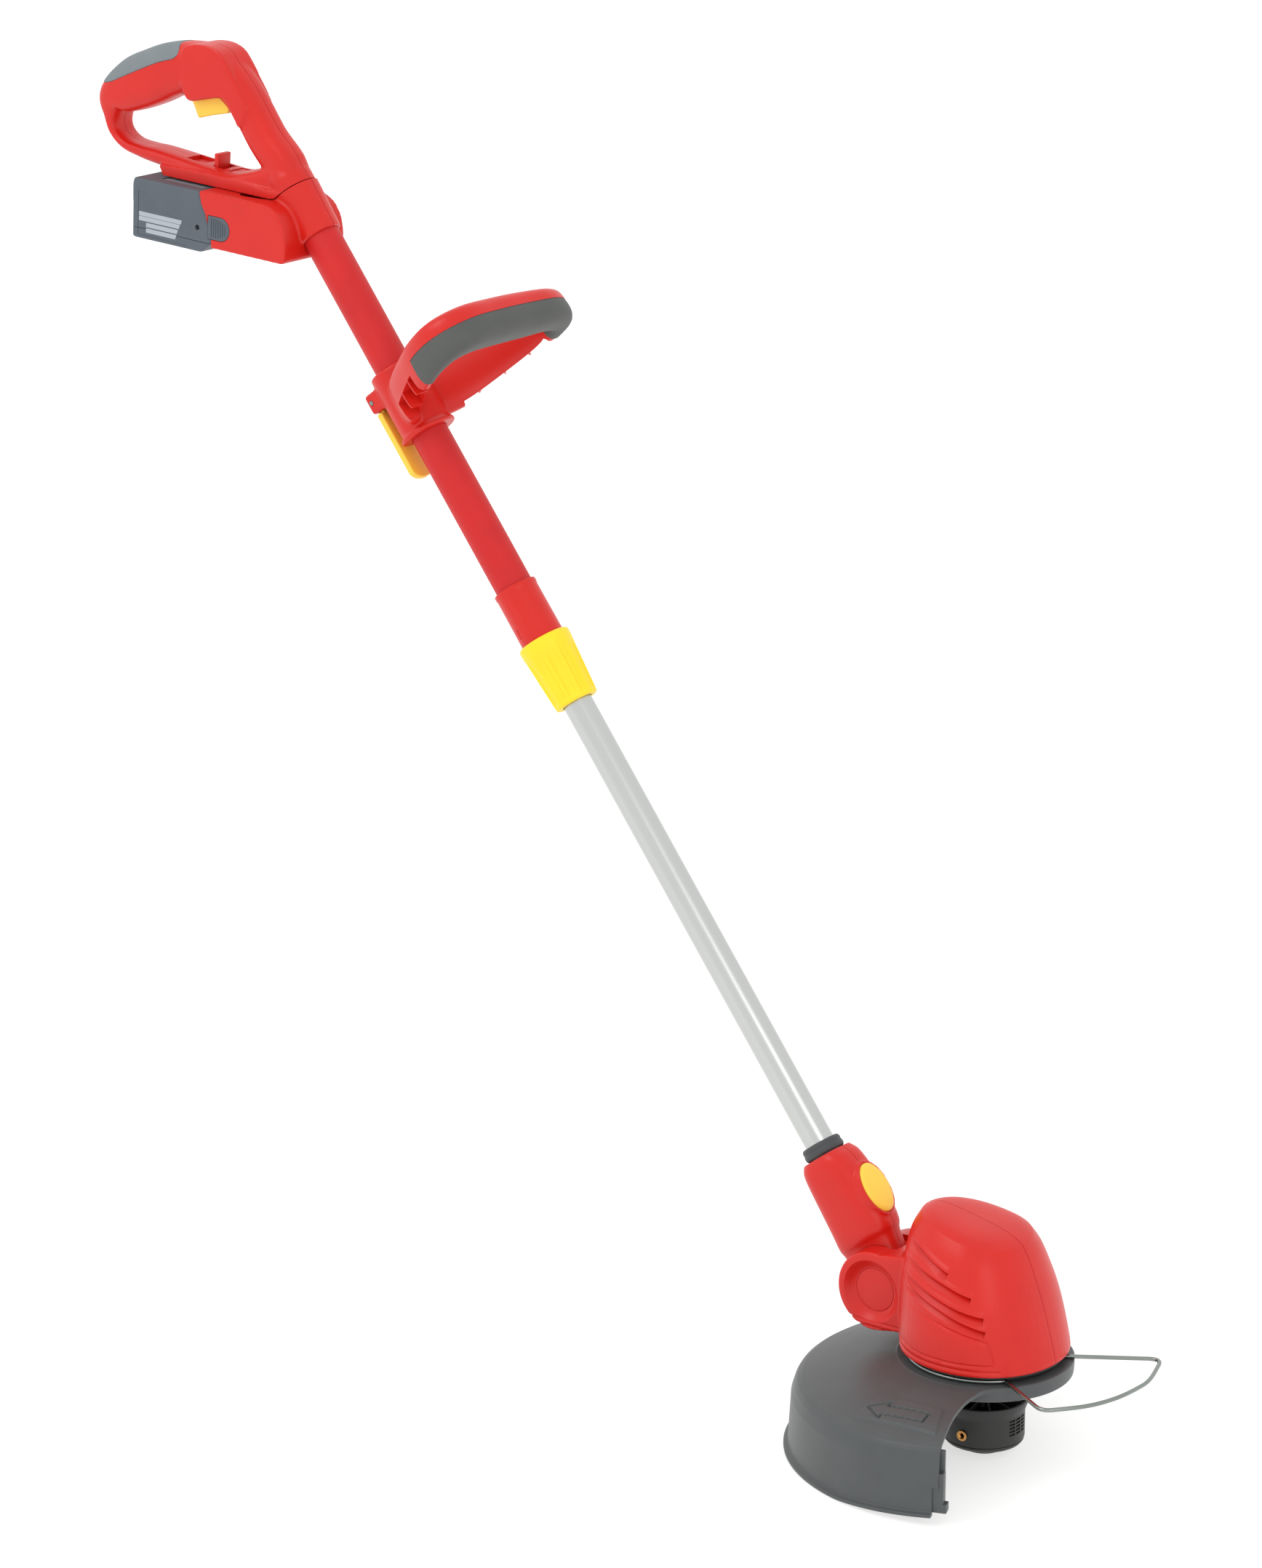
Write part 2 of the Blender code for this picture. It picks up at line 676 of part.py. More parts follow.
def battery_housing():
    """Two shells that clamp the pole and take the battery's nose."""
    rings = []
    for x, low, high, half in BOX_ROWS:
        row = oval((high - low) / 2, half, 16, 6.0)
        rings.append([Vector((x, v, (low + high) / 2 + u)) for u, v in row])
    body = loft("battery_housing_left", rings)
    body.data.transform(BOX_ON_POLE)
    collar = rod("collar_tool", BOX_COLLAR_R, BOX_COLLAR_START, BOX_COLLAR_END, HANDLE_FACETS)
    body = fuse(body, collar)
    hollow = level_box("hollow_tool", BOX_REAR - 0.010, BOX_REAR + 0.034, BOX_LOW + BOX_WALL,
                       BOX_HIGH - BOX_WALL, BOX_HALF - BOX_WALL, 0.002)
    hollow.data.transform(BOX_ON_POLE)
    hollow = cut(hollow, shoulder("roof_tool", GAP + 0.0035, HANDLE_FOOT + 0.060, 0.0030))
    body = cut(body, hollow)
    body = cut(body, rod("bore_tool", UPPER_R + GAP, BOX_COLLAR_START - 0.1, HANDLE_FOOT + 0.1, HANDLE_FACETS))
    body = cut(body, shoulder("shoulder_tool", GAP, HANDLE_FOOT + 0.060))
    for sign in (-1, 1):
        latch = latch_shape("latch_tool", sign, GAP, 0.004, 0.010)
        latch.data.transform(BOX_ON_POLE)
        body = cut(body, latch)
    left, right = halves(body, "battery_housing_left", "battery_housing_right")
    seat(SWIVEL, POLE, RED, left, right)

    block = box("terminal_block", (BOX_REAR + BATTERY_NOSE + 0.001, -0.020, BOX_LOW + 0.0105),
                (BOX_REAR + BATTERY_NOSE + 0.009, 0.020, BOX_HIGH - 0.0105))
    for sign in (-1, 1):
        foot = box("foot_tool",
                   (BOX_REAR + BATTERY_NOSE + 0.003, sign * 0.014 - 0.004, BOX_LOW + BOX_WALL + 0.0006),
                   (BOX_REAR + BATTERY_NOSE + 0.008, sign * 0.014 + 0.004, BOX_HIGH - 0.0100))
        block = fuse(block, foot)
    seat(SWIVEL, BOX, BLACK, block)
    board_rear = BOX_REAR + BATTERY_NOSE + 0.009 + GAP
    board = box("control_board", (board_rear, -0.026, BOX_LOW + BOX_WALL + 0.002),
                (board_rear + 0.0016, 0.026, BOX_HIGH - 0.0105))
    seat(SWIVEL, BOX, COPPER_GREEN, board)


def latch_shape(name, sign, grow, depth_extra=0.0, run=0.0):
    """A battery release button with a round front end; a run lengthens it to the rear."""
    high = (BOX_LOW + BOX_HIGH) / 2 - 0.0040
    rear = BOX_REAR + 0.0010 - run
    outline = [(rear - grow, high - LATCH_HALF_HIGH - grow)]
    front = rear + run + LATCH_LENGTH - LATCH_HALF_HIGH
    for step in range(9):
        angle = -math.pi / 2 + math.pi * step / 8
        outline.append((front + (LATCH_HALF_HIGH + grow) * math.cos(angle),
                        high + (LATCH_HALF_HIGH + grow) * math.sin(angle)))
    outline.append((rear - grow, high + LATCH_HALF_HIGH + grow))
    plate = sheet(name, outline, (LATCH_THICK + depth_extra) / 2)
    plate.data.transform(Matrix.Rotation(math.pi / 2, 4, "X"))
    plate.data.transform(Matrix.Translation((0.0, sign * (BOX_HALF + 0.0004 - LATCH_THICK / 2), 0.0)))
    return plate


def battery():
    """The slide-in battery: case, lid, cells and its two release buttons."""
    rear = BOX_REAR - BATTERY_LENGTH
    high = BOX_HIGH - BATTERY_INSET
    low = BOX_LOW + BATTERY_INSET
    half = BOX_HALF - 0.0005
    nose_trim = BOX_WALL + GAP
    body = level_box("battery_case", rear, BOX_REAR - GAP, low, high, half, 0.003)
    nose = level_box("nose_tool", BOX_REAR - 0.010, BOX_REAR + BATTERY_NOSE, BOX_LOW + nose_trim,
                     BOX_HIGH - nose_trim, BOX_HALF - nose_trim, 0.002)
    body = fuse(body, nose)
    wall = BATTERY_WALL
    inside = level_box("inside_tool", rear + wall, BOX_REAR - 0.004, low + wall, high - wall, half - wall, 0.002)
    body = cut(body, inside)
    side = BOX_HALF - nose_trim - LATCH_THICK - 0.003
    nose_inside = box("inside_tool", (BOX_REAR - 0.010, -side, BOX_LOW + nose_trim + wall),
                      (BOX_REAR + BATTERY_NOSE - wall, side, BOX_HIGH - nose_trim - wall))
    body = cut(body, nose_inside)
    for sign in (-1, 1):
        body = cut(body, latch_shape("latch_tool", sign, GAP, 0.008))
    split = low + 0.008
    lid = copy(body, "battery_lid")
    body = cut(body, box("low_tool", (-1.0, -FAR, 0.0), (0.0, FAR, split + SEAM)))
    lid = cut(lid, box("high_tool", (-1.0, -FAR, split - SEAM), (0.0, FAR, 1.0)))
    lid = keep_largest(lid)
    seat(BATTERY, BOX, SLATE, body, lid)

    centre_low = low + wall + GAP + CELL_R
    lying = Matrix.Rotation(math.pi / 2, 4, "Y")
    pack = None
    for row, places in ((0, (-0.0190, 0.0, 0.0190)), (1, (-0.0095, 0.0095))):
        for y in places:
            z = centre_low + row * CELL_R * 1.86
            cell = rod("cell_pack", CELL_R, 0.0, CELL_LENGTH, SMALL_FACETS)
            cell.data.transform(Matrix.Translation((rear + wall + 0.002, y, z)) @ lying)
            pack = cell if pack is None else fuse(pack, cell)
    for x in (rear + wall + GAP, rear + wall + 0.002 + CELL_LENGTH - 0.0005):
        strip = box("strip_tool", (x, -0.0240, centre_low - 0.004), (x + 0.002, 0.0240, centre_low + 0.020))
        pack = fuse(pack, strip)
    pack.name = "cell_pack"
    seat(BATTERY, BOX, COPPER_GREEN, pack)

    for sign, name in ((1, "battery_button_left"), (-1, "battery_button_right")):
        button = latch_shape(name, sign, 0.0)
        place = (BOX_REAR, sign * BOX_HALF, BOX_LOW)
        seat(joint(name + "_slide", place, BOX), BOX, SLATE, button)


def keep_largest(item):
    """Drop all but the largest loose piece of a mesh."""
    shape = bmesh.new()
    shape.from_mesh(item.data)
    left = set(shape.verts)
    groups = []
    while left:
        stack = [left.pop()]
        group = set(stack)
        while stack:
            for edge in stack.pop().link_edges:
                for vert in edge.verts:
                    if vert in left:
                        left.discard(vert)
                        group.add(vert)
                        stack.append(vert)
        groups.append(group)
    groups.sort(key=len)
    for group in groups[:-1]:
        bmesh.ops.delete(shape, geom=list(group), context="VERTS")
    shape.to_mesh(item.data)
    shape.free()
    return item


# Pole

def upper_pole():
    tube = ring("upper_tube", UPPER_R, UPPER_R - UPPER_WALL, UPPER_START, UPPER_END, HANDLE_FACETS)
    seat(SWIVEL, POLE, TUBE_RED, tube)
    low = COLLAR_START + COLLAR_LENGTH + GAP
    sleeve = turned("tube_sleeve", [
        (SLEEVE_R, low + SLEEVE_LENGTH), (SLEEVE_R, low), (LOWER_R + 0.0016, low),
        (LOWER_R + 0.0016, UPPER_START - GAP), (UPPER_R + GAP, UPPER_START - GAP),
        (UPPER_R + GAP, low + SLEEVE_LENGTH)], FACETS)
    slot = box("slot_tool", (-0.0060, -SLEEVE_R - 0.001, low + 0.0060),
               (-0.0032, -UPPER_R - 0.0010, low + 0.0130))
    sleeve = cut(sleeve, slot)
    seat(SWIVEL, POLE, RED, sleeve)
    foot = low - GAP - COLLET_LENGTH
    collet = turned("collet", [
        (UPPER_R, low - 0.001), (UPPER_R - 0.0016, foot + 0.004), (UPPER_R - 0.0020, foot),
        (LOWER_R + GAP, foot), (LOWER_R + GAP, UPPER_START - 2 * GAP), (LOWER_R + 0.0013, UPPER_START - 2 * GAP),
        (LOWER_R + 0.0013, low - 0.001)], FACETS)
    for turn in range(2):
        slit = box("slit_tool", (-FAR / 6, -0.0006, foot - OVER), (FAR / 6, 0.0006, foot + COLLET_LENGTH * 0.6))
        slit.data.transform(Matrix.Rotation(turn * math.pi / 2, 4, "Z"))
        collet = cut(collet, slit)
    seat(SWIVEL, POLE, BLACK, collet)


def twist_collar():
    """The fluted nut that clamps the telescopic pole."""
    count = COLLAR_FLUTES * 3
    top = COLLAR_START + COLLAR_LENGTH
    profile = (
        (COLLAR_START, COLLAR_FOOT_R - 0.0012, 0.0),
        (COLLAR_START + 0.0015, COLLAR_FOOT_R, 0.0),
        (COLLAR_START + 0.0080, COLLAR_FOOT_R + 0.0006, 1.0),
        (top - 0.0130, COLLAR_TOP_R - 0.0006, 1.0),
        (top - 0.0060, COLLAR_TOP_R, 0.0),
        (top - 0.0015, COLLAR_TOP_R, 0.0),
        (top, COLLAR_TOP_R - 0.0012, 0.0),
    )
    rings = []
    for height, radius, fluted in profile:
        row = []
        for step in range(count):
            dip = (0.0, 1.0, 1.0)[step % 3] * FLUTE_DEPTH * fluted
            angle = 2 * math.pi * step / count
            reach = radius - dip
            row.append(Vector((reach * math.cos(angle), reach * math.sin(angle), height)))
        rings.append(row)
    collar = loft("twist_collar", rings)
    bore = turned("bore_tool", [
        (0.0, top + OVER), (UPPER_R + 0.0006, top + OVER), (UPPER_R + 0.0006, top - 0.004),
        (UPPER_R - 0.0008, COLLAR_START + 0.0030), (LOWER_R + 0.0008, COLLAR_START + 0.0030),
        (LOWER_R + 0.0008, COLLAR_START - OVER), (0.0, COLLAR_START - OVER)], FACETS)
    collar = cut(collar, bore)
    seat(joint("twist_axis", (0.0, 0.0, COLLAR_START), POLE), POLE, YELLOW, collar)


def lower_pole():
    tube = ring("lower_tube", LOWER_R, LOWER_R - LOWER_WALL, LOWER_START, LOWER_END, FACETS)
    seat(TELESCOPE, POLE, ALUMINIUM, tube)
    bush = turned("tube_bush", [
        (UPPER_R - UPPER_WALL - RUNNING, LOWER_END + 0.006), (UPPER_R - UPPER_WALL - RUNNING, LOWER_END - 0.008),
        (LOWER_R + GAP, LOWER_END - 0.008), (LOWER_R + GAP, LOWER_END + GAP), (LEAD_R + GAP, LOWER_END + GAP),
        (LEAD_R + GAP, LOWER_END + 0.006)], FACETS)
    seat(TELESCOPE, POLE, BLACK, bush)
    lead = rod("power_lead", LEAD_R, LOWER_START + 0.002, LOWER_END + 0.004, SMALL_FACETS)
    seat(TELESCOPE, POLE, BLACK, lead)


# Front handle

# Rows of place, side, rise above the collar's foot, half in plane and half across
BOW = (
    (0.0050, -0.0145, 0.0250, 0.0070, 0.0180),
    (0.0170, -0.0245, 0.0260, 0.0062, 0.0180),
    (0.0400, -0.0360, 0.0300, 0.0062, 0.0170),
    (0.0640, -0.0450, 0.0340, 0.0070, 0.0160),
    (0.0860, -0.0440, 0.0370, 0.0100, 0.0155),
    (0.0980, -0.0290, 0.0380, 0.0140, 0.0152),
    (0.0990, 0.0000, 0.0385, 0.0155, 0.0150),
    (0.0985, 0.0330, 0.0385, 0.0155, 0.0150),
    (0.0995, 0.0630, 0.0380, 0.0140, 0.0152),
    (0.0910, 0.0810, 0.0370, 0.0100, 0.0155),
    (0.0660, 0.0795, 0.0340, 0.0070, 0.0160),
    (0.0400, 0.0610, 0.0300, 0.0062, 0.0170),
    (0.0170, 0.0370, 0.0260, 0.0062, 0.0180),
    (0.0050, 0.0155, 0.0250, 0.0070, 0.0180),
)


def front_handle():
    """The bow handle, its soft lower half, and the lever that clamps it to the pole."""
    top = FRONT_START + FRONT_LENGTH
    rows = smooth([(x, y, FRONT_START + rise, half_u, half_v) for x, y, rise, half_u, half_v in BOW], 2)
    frame = sweep("front_handle_frame", rows, UP, count=12, power=3.0)
    collar = turned("collar_tool", [
        (0.0, top), (FRONT_COLLAR_R - 0.001, top), (FRONT_COLLAR_R, top - 0.001),
        (FRONT_COLLAR_R, FRONT_START + 0.003), (FRONT_COLLAR_R + 0.002, FRONT_START + 0.002),
        (FRONT_COLLAR_R + 0.002, FRONT_START), (0.0, FRONT_START)], FACETS)
    frame = fuse(frame, collar)
    back = LEVER_PIN_BACK + LEVER_EAR_BACK
    hinge = box("hinge_tool", (-back, -LEVER_EAR_OUT, LEVER_PIN_HEIGHT - LEVER_EAR_LOW),
                (0.0, LEVER_EAR_OUT, LEVER_PIN_HEIGHT + LEVER_EAR_HIGH))
    frame = fuse(frame, hinge)
    bore = rod("bore_tool", UPPER_R + GAP, FRONT_START - OVER, top + OVER, FACETS)
    frame = cut(frame, bore)
    window = box("window_tool", (-back - OVER, -LEVER_EAR_IN, LEVER_PIN_HEIGHT - 0.012),
                 (-UPPER_R + 0.004, LEVER_EAR_IN, LEVER_PIN_HEIGHT + 0.010))
    frame = cut(frame, window)
    room = box("room_tool", (-back - OVER, -LEVER_HALF - GAP, FRONT_START - OVER),
               (-FRONT_COLLAR_R + 0.002, LEVER_HALF + GAP, LEVER_PIN_HEIGHT - LEVER_EAR_LOW - GAP))
    frame = cut(frame, room)
    pin_place = (-LEVER_PIN_BACK, LEVER_PIN_HEIGHT)
    frame = cut(frame, cross_rod("pin_tool", LEVER_PIN_R + GAP, pin_place, -FAR, FAR, SMALL_FACETS))
    grip_rows = [row for row in rows if row[0] > GRIP_FROM]
    soft = [(x, y, z - v * 0.5 - GAP, u, v * 0.5 + BOW_CUT) for x, y, z, u, v in grip_rows]
    frame = cut(frame, sweep("grip_tool", pocket_rows(soft), UP, count=12, power=2.6))
    seat(FRONT_HANDLE, POLE, RED, frame)

    grip = sweep("front_grip", soft, UP, count=12, power=2.6)
    seat(FRONT_HANDLE, POLE, RUBBER, grip)

    pad = box("clamp_pad", (-UPPER_R - 0.0038, -LEVER_EAR_IN + GAP, LEVER_PIN_HEIGHT - 0.010),
              (-UPPER_R + 0.003, LEVER_EAR_IN - GAP, LEVER_PIN_HEIGHT + 0.009))
    pad = cut(pad, rod("bore_tool", UPPER_R + GAP, FRONT_START, top, FACETS))
    seat(FRONT_HANDLE, POLE, BLACK, pad)
    reach = LEVER_EAR_OUT + 0.0004
    pin = cross_rod("lever_pin", LEVER_PIN_R, pin_place, -reach, reach, SMALL_FACETS)
    seat(FRONT_HANDLE, POLE, STEEL, pin)

    lever = cross_rod("clamp_lever", LEVER_BARREL_R, pin_place, -LEVER_EAR_IN + GAP, LEVER_EAR_IN - GAP, HANDLE_FACETS)
    near = -FRONT_COLLAR_R - LEVER_CLEAR - GAP
    arm = box("arm_tool", (near - LEVER_THICK, -LEVER_EAR_IN + GAP, LEVER_PIN_HEIGHT - 0.016),
              (near, LEVER_EAR_IN - GAP, LEVER_PIN_HEIGHT + 0.001))
    lever = fuse(lever, arm)
    outline = []
    for step in range(9):
        angle = math.pi * step / 8
        outline.append((LEVER_TIP + LEVER_HALF * 0.6 * (1 - math.sin(angle)), LEVER_HALF * math.cos(angle)))
    outline += [(LEVER_PIN_HEIGHT - LEVER_ROOT, -LEVER_HALF), (LEVER_PIN_HEIGHT - LEVER_ROOT, LEVER_HALF)]
    blade = sheet("blade_tool", outline, LEVER_THICK / 2)
    upright = Matrix.Rotation(-math.pi / 2, 4, "Y")
    blade.data.transform(Matrix.Translation((near - LEVER_THICK / 2, 0.0, 0.0)) @ upright)
    lever = fuse(lever, blade)
    lever = cut(lever, cross_rod("pin_tool", LEVER_PIN_R + RUNNING / 4, pin_place, -FAR, FAR, SMALL_FACETS))
    seat(joint("lever_axis", (-LEVER_PIN_BACK, 0.0, LEVER_PIN_HEIGHT), POLE), POLE, YELLOW, lever)


# Neck

NECK_ROWS = (
    (0.0, -0.0020, 0.0200, 0.0136),
    (0.0280, -0.0020, 0.0235, 0.0136),
    (0.0360, -0.0008, 0.0252, 0.0165),
    (0.0500, 0.0008, 0.0246, 0.0185),
    (0.0780, 0.0012, 0.0230, 0.0190),
    (0.0960, 0.0005, 0.0202, 0.0188),
    (NECK_TOP, 0.0, 0.0165, 0.0160),
)


def neck_shape(name, trim, low=0.0, high=1.0):
    rings = []
    for height, centre, half_x, half_y in NECK_ROWS:
        if low <= height <= high:
            row = oval(half_x - trim, half_y - trim, 16, 3.0)
            rings.append([Vector((centre + u, v, height)) for u, v in row])
    return loft(name, rings)


def ellipse_plug(name, half_long, half_wide, back, front, dome=0.0):
    """An oval plug along X at the button's height."""
    rings = []
    for x, share in ((back, 1.0), (front, 1.0), (front + dome * 0.6, 0.86), (front + dome, 0.55)):
        if share < 1.0 and dome == 0.0:
            continue
        rings.append([Vector((x, v * share, BUTTON_HEIGHT + u * share)) for u, v in oval(
            half_long, half_wide, 20, 2.0)])
    return loft(name, rings)


def neck():
    """The two shells at the foot of the pole, with the tilt button and its latch."""
    body = neck_shape("neck_left", 0.0)
    body = fuse(body, cross_rod("barrel_tool", BARREL_R, (0.0, 0.0), -BARREL_HALF, BARREL_HALF, FACETS))
    boss = ellipse_plug("boss_tool", BUTTON_HALF_LONG + BOSS_RIM, BUTTON_HALF_WIDE + BOSS_RIM, 0.0, BOSS_FRONT)
    body = fuse(body, boss)
    body = cut(body, neck_shape("hollow_tool", NECK_WALL, 0.0360, 0.0960))
    body = cut(body, rod("bore_tool", LOWER_R + GAP, LOWER_START - GAP, NECK_TOP + OVER, FACETS))
    hole = ellipse_plug("hole_tool", BUTTON_HALF_LONG + GAP, BUTTON_HALF_WIDE + GAP, 0.004, BOSS_FRONT + OVER)
    body = cut(body, hole)
    side = RATCHET_HALF + GAP
    body = cut(body, cross_rod("ratchet_tool", RATCHET_R + 0.0006, (0.0, 0.0), -side, side, FACETS))
    body = cut(body, box("latch_tool", (LATCH_REAR - GAP, -side, 0.010), (LATCH_FRONT + GAP, side, LOWER_START + OVER)))
    body = cut(body, cross_rod("bolt_tool", BOLT_R + RUNNING, (0.0, 0.0), -FAR, FAR, SMALL_FACETS))
    body = cut(body, box("lead_tool", (-0.0140, -0.0034, -0.060), (-0.0060, 0.0034, LOWER_START)))
    left, right = halves(body, "neck_left", "neck_right")
    seat(TELESCOPE, POLE, RED, left, right)

    low = NECK_TOP + GAP
    ring_body = turned("neck_ring", [
        (NECK_RING_R - 0.0014, low + NECK_RING_LENGTH), (NECK_RING_R, low + NECK_RING_LENGTH - 0.0024),
        (NECK_RING_R, low + 0.0016), (NECK_RING_R - 0.001, low), (LOWER_R + GAP, low),
        (LOWER_R + GAP, low + NECK_RING_LENGTH)], FACETS)
    seat(TELESCOPE, POLE, SLATE, ring_body)

    button = ellipse_plug("tilt_button", BUTTON_HALF_LONG, BUTTON_HALF_WIDE,
                          BOSS_FRONT + BUTTON_PROUD - BUTTON_DEPTH, BOSS_FRONT, BUTTON_PROUD)
    seat(joint("button_slide", (BOSS_FRONT, 0.0, BUTTON_HEIGHT), POLE), POLE, YELLOW, button)

    latch = box("tilt_latch", (LATCH_REAR, -RATCHET_HALF, RATCHET_R - 0.0002),
                (LATCH_FRONT, RATCHET_HALF, LOWER_START - 0.0045))
    seat(joint("latch_slide", ((LATCH_REAR + LATCH_FRONT) / 2, 0.0, 0.0), POLE), POLE, STEEL, latch)


# Motor head

HOUSING_ROWS = (
    (HOUSING_BASE, 0.0, 0.0572, 0.0588, 0.0583, 2.1),
    (0.0800, 0.0, 0.0585, 0.0602, 0.0597, 2.1),
    (0.1000, 0.02, 0.0535, 0.0610, 0.0580, 2.15),
    (0.1220, 0.05, 0.0470, 0.0610, 0.0540, 2.2),
    (0.1400, 0.08, 0.0405, 0.0595, 0.0485, 2.2),
    (0.1550, 0.13, 0.0345, 0.0560, 0.0425, 2.2),
    (0.1650, 0.18, 0.0290, 0.0500, 0.0360, 2.1),
    (0.1700, 0.20, 0.0160, 0.0340, 0.0220, 2.0),
)


def housing_shape(name, trim, low):
    """The motor housing as leaning ovals, longer to the rear; trim thins it by a wall."""
    rings = []
    for height, tilt, front, rear, side, power in HOUSING_ROWS:
        row = []
        level = max(height - trim, low)
        for u, v in oval(1.0, side - trim, 20, power):
            x = u * ((front if u > 0 else rear) - trim)
            row.append(Vector((x, v, level - tilt * x)))
        rings.append(row)
    return loft(name, rings)


def motor_housing():
    """Two shells over the motor with the ears that the neck tilts in."""
    body = housing_shape("motor_housing_left", 0.0, 0.0)
    px, pz = PIVOT.x, PIVOT.z
    outline = []
    for step in range(13):
        angle = math.radians(80 + 200 * step / 12)
        outline.append((px + EAR_R * math.cos(angle), pz + EAR_R * math.sin(angle)))
    outline += [(-0.050, pz - EAR_R + 0.004), (-0.040, pz - 0.005), (-0.044, pz + EAR_R + 0.004)]
    ear = sheet("ear_tool", outline, EAR_OUT, 0.0015)
    ear.data.transform(Matrix.Rotation(math.pi / 2, 4, "X"))
    body = fuse(body, ear)
    hollow = housing_shape("hollow_tool", HOUSING_WALL, HOUSING_BASE - OVER)
    body = cut(body, hollow)
    relief = BARREL_R + 0.0012
    gap_outline = [(px - 0.060, pz - 0.060), (px + 0.006, pz - 0.060), (px + 0.0105, pz - 0.024)]
    for step in range(9):
        angle = math.radians(-66 + 132 * step / 8)
        gap_outline.append((px + relief * math.cos(angle), pz + relief * math.sin(angle)))
    gap_outline += [(px + 0.0105, pz + 0.060), (px - 0.060, pz + 0.060)]
    gap = sheet("gap_tool", gap_outline, EAR_IN)
    gap.data.transform(Matrix.Rotation(math.pi / 2, 4, "X"))
    body = cut(body, gap)
    for sign in (-1, 1):
        dish = turned("dish_tool", [
            (0.0, OVER), (DISH_R + 0.002, OVER), (DISH_R, 0.0), (DISH_R - 0.006, -DISH_DEPTH * 0.75),
            (DISH_R - 0.009, -DISH_DEPTH), (0.0, -DISH_DEPTH)], FACETS)
        outward = Matrix.Rotation(-sign * math.pi / 2, 4, "X")
        dish.data.transform(Matrix.Translation((px, sign * EAR_OUT, pz)) @ outward)
        body = cut(body, dish)
    body = cut(body, cross_rod("bolt_tool", BOLT_R + GAP, (px, pz), -FAR, FAR, SMALL_FACETS))
    floor = EAR_OUT - DISH_DEPTH
    seat_low = floor - PIVOT_CAP_THICK - GAP
    for sign in (-1, 1):
        recess = turned("recess_tool", [
            (0.0, floor + OVER), (PIVOT_CAP_R + GAP, floor + OVER), (PIVOT_CAP_R + GAP, seat_low),
            (BOLT_HEAD_R + 0.0015, seat_low), (BOLT_HEAD_R + 0.0015, seat_low - BOLT_HEAD_HIGH - GAP),
            (0.0, seat_low - BOLT_HEAD_HIGH - GAP)], HANDLE_FACETS)
        recess.data.transform(Matrix.Translation((px, 0.0, pz)) @ Matrix.Rotation(-sign * math.pi / 2, 4, "X"))
        body = cut(body, recess)
    left, right = halves(body, "motor_housing_left", "motor_housing_right")
    seat(HEAD, Matrix.Identity(4), RED, left, right)


def pivot_pieces():
    """The tilt bolt and nut under their caps, and the ratchet wheel between the neck shells."""
    floor = EAR_OUT - DISH_DEPTH
    low = floor - PIVOT_CAP_THICK - GAP - BOLT_HEAD_HIGH
    high = low + BOLT_HEAD_HIGH - GAP
    bolt = turned("pivot_bolt", [
        (0.0, high), (BOLT_HEAD_R - 0.001, high), (BOLT_HEAD_R, high - 0.001), (BOLT_HEAD_R, low),
        (BOLT_R, low), (BOLT_R, -high), (0.0, -high)], HANDLE_FACETS)
    nut = rod("pivot_nut", BOLT_HEAD_R, -high, -low, 6)
    nut = cut(nut, rod("bore_tool", BOLT_R + GAP, -floor, 0.0, SMALL_FACETS))
    place = Matrix.Translation(PIVOT) @ Matrix.Rotation(-math.pi / 2, 4, "X")
    seat(HEAD, place, STEEL, bolt, nut)
    left_cap = rod("pivot_cap_left", PIVOT_CAP_R, floor - PIVOT_CAP_THICK, floor, HANDLE_FACETS)
    right_cap = rod("pivot_cap_right", PIVOT_CAP_R, -floor, -floor + PIVOT_CAP_THICK, HANDLE_FACETS)
    seat(HEAD, place, RED, left_cap, right_cap)
    ratchet = ring("tilt_ratchet", RATCHET_R - 0.0006, BOLT_R + GAP / 3, -RATCHET_HALF, RATCHET_HALF, FACETS)
    seat(HEAD, place, STEEL, ratchet)


def leg_place(turn):
    """Where one of the three legs under the motor stands."""
    angle = turn * math.tau / 3 + LEG_TURN
    return Matrix.Translation((LEG_PLACE_R * math.cos(angle), LEG_PLACE_R * math.sin(angle), 0.0))


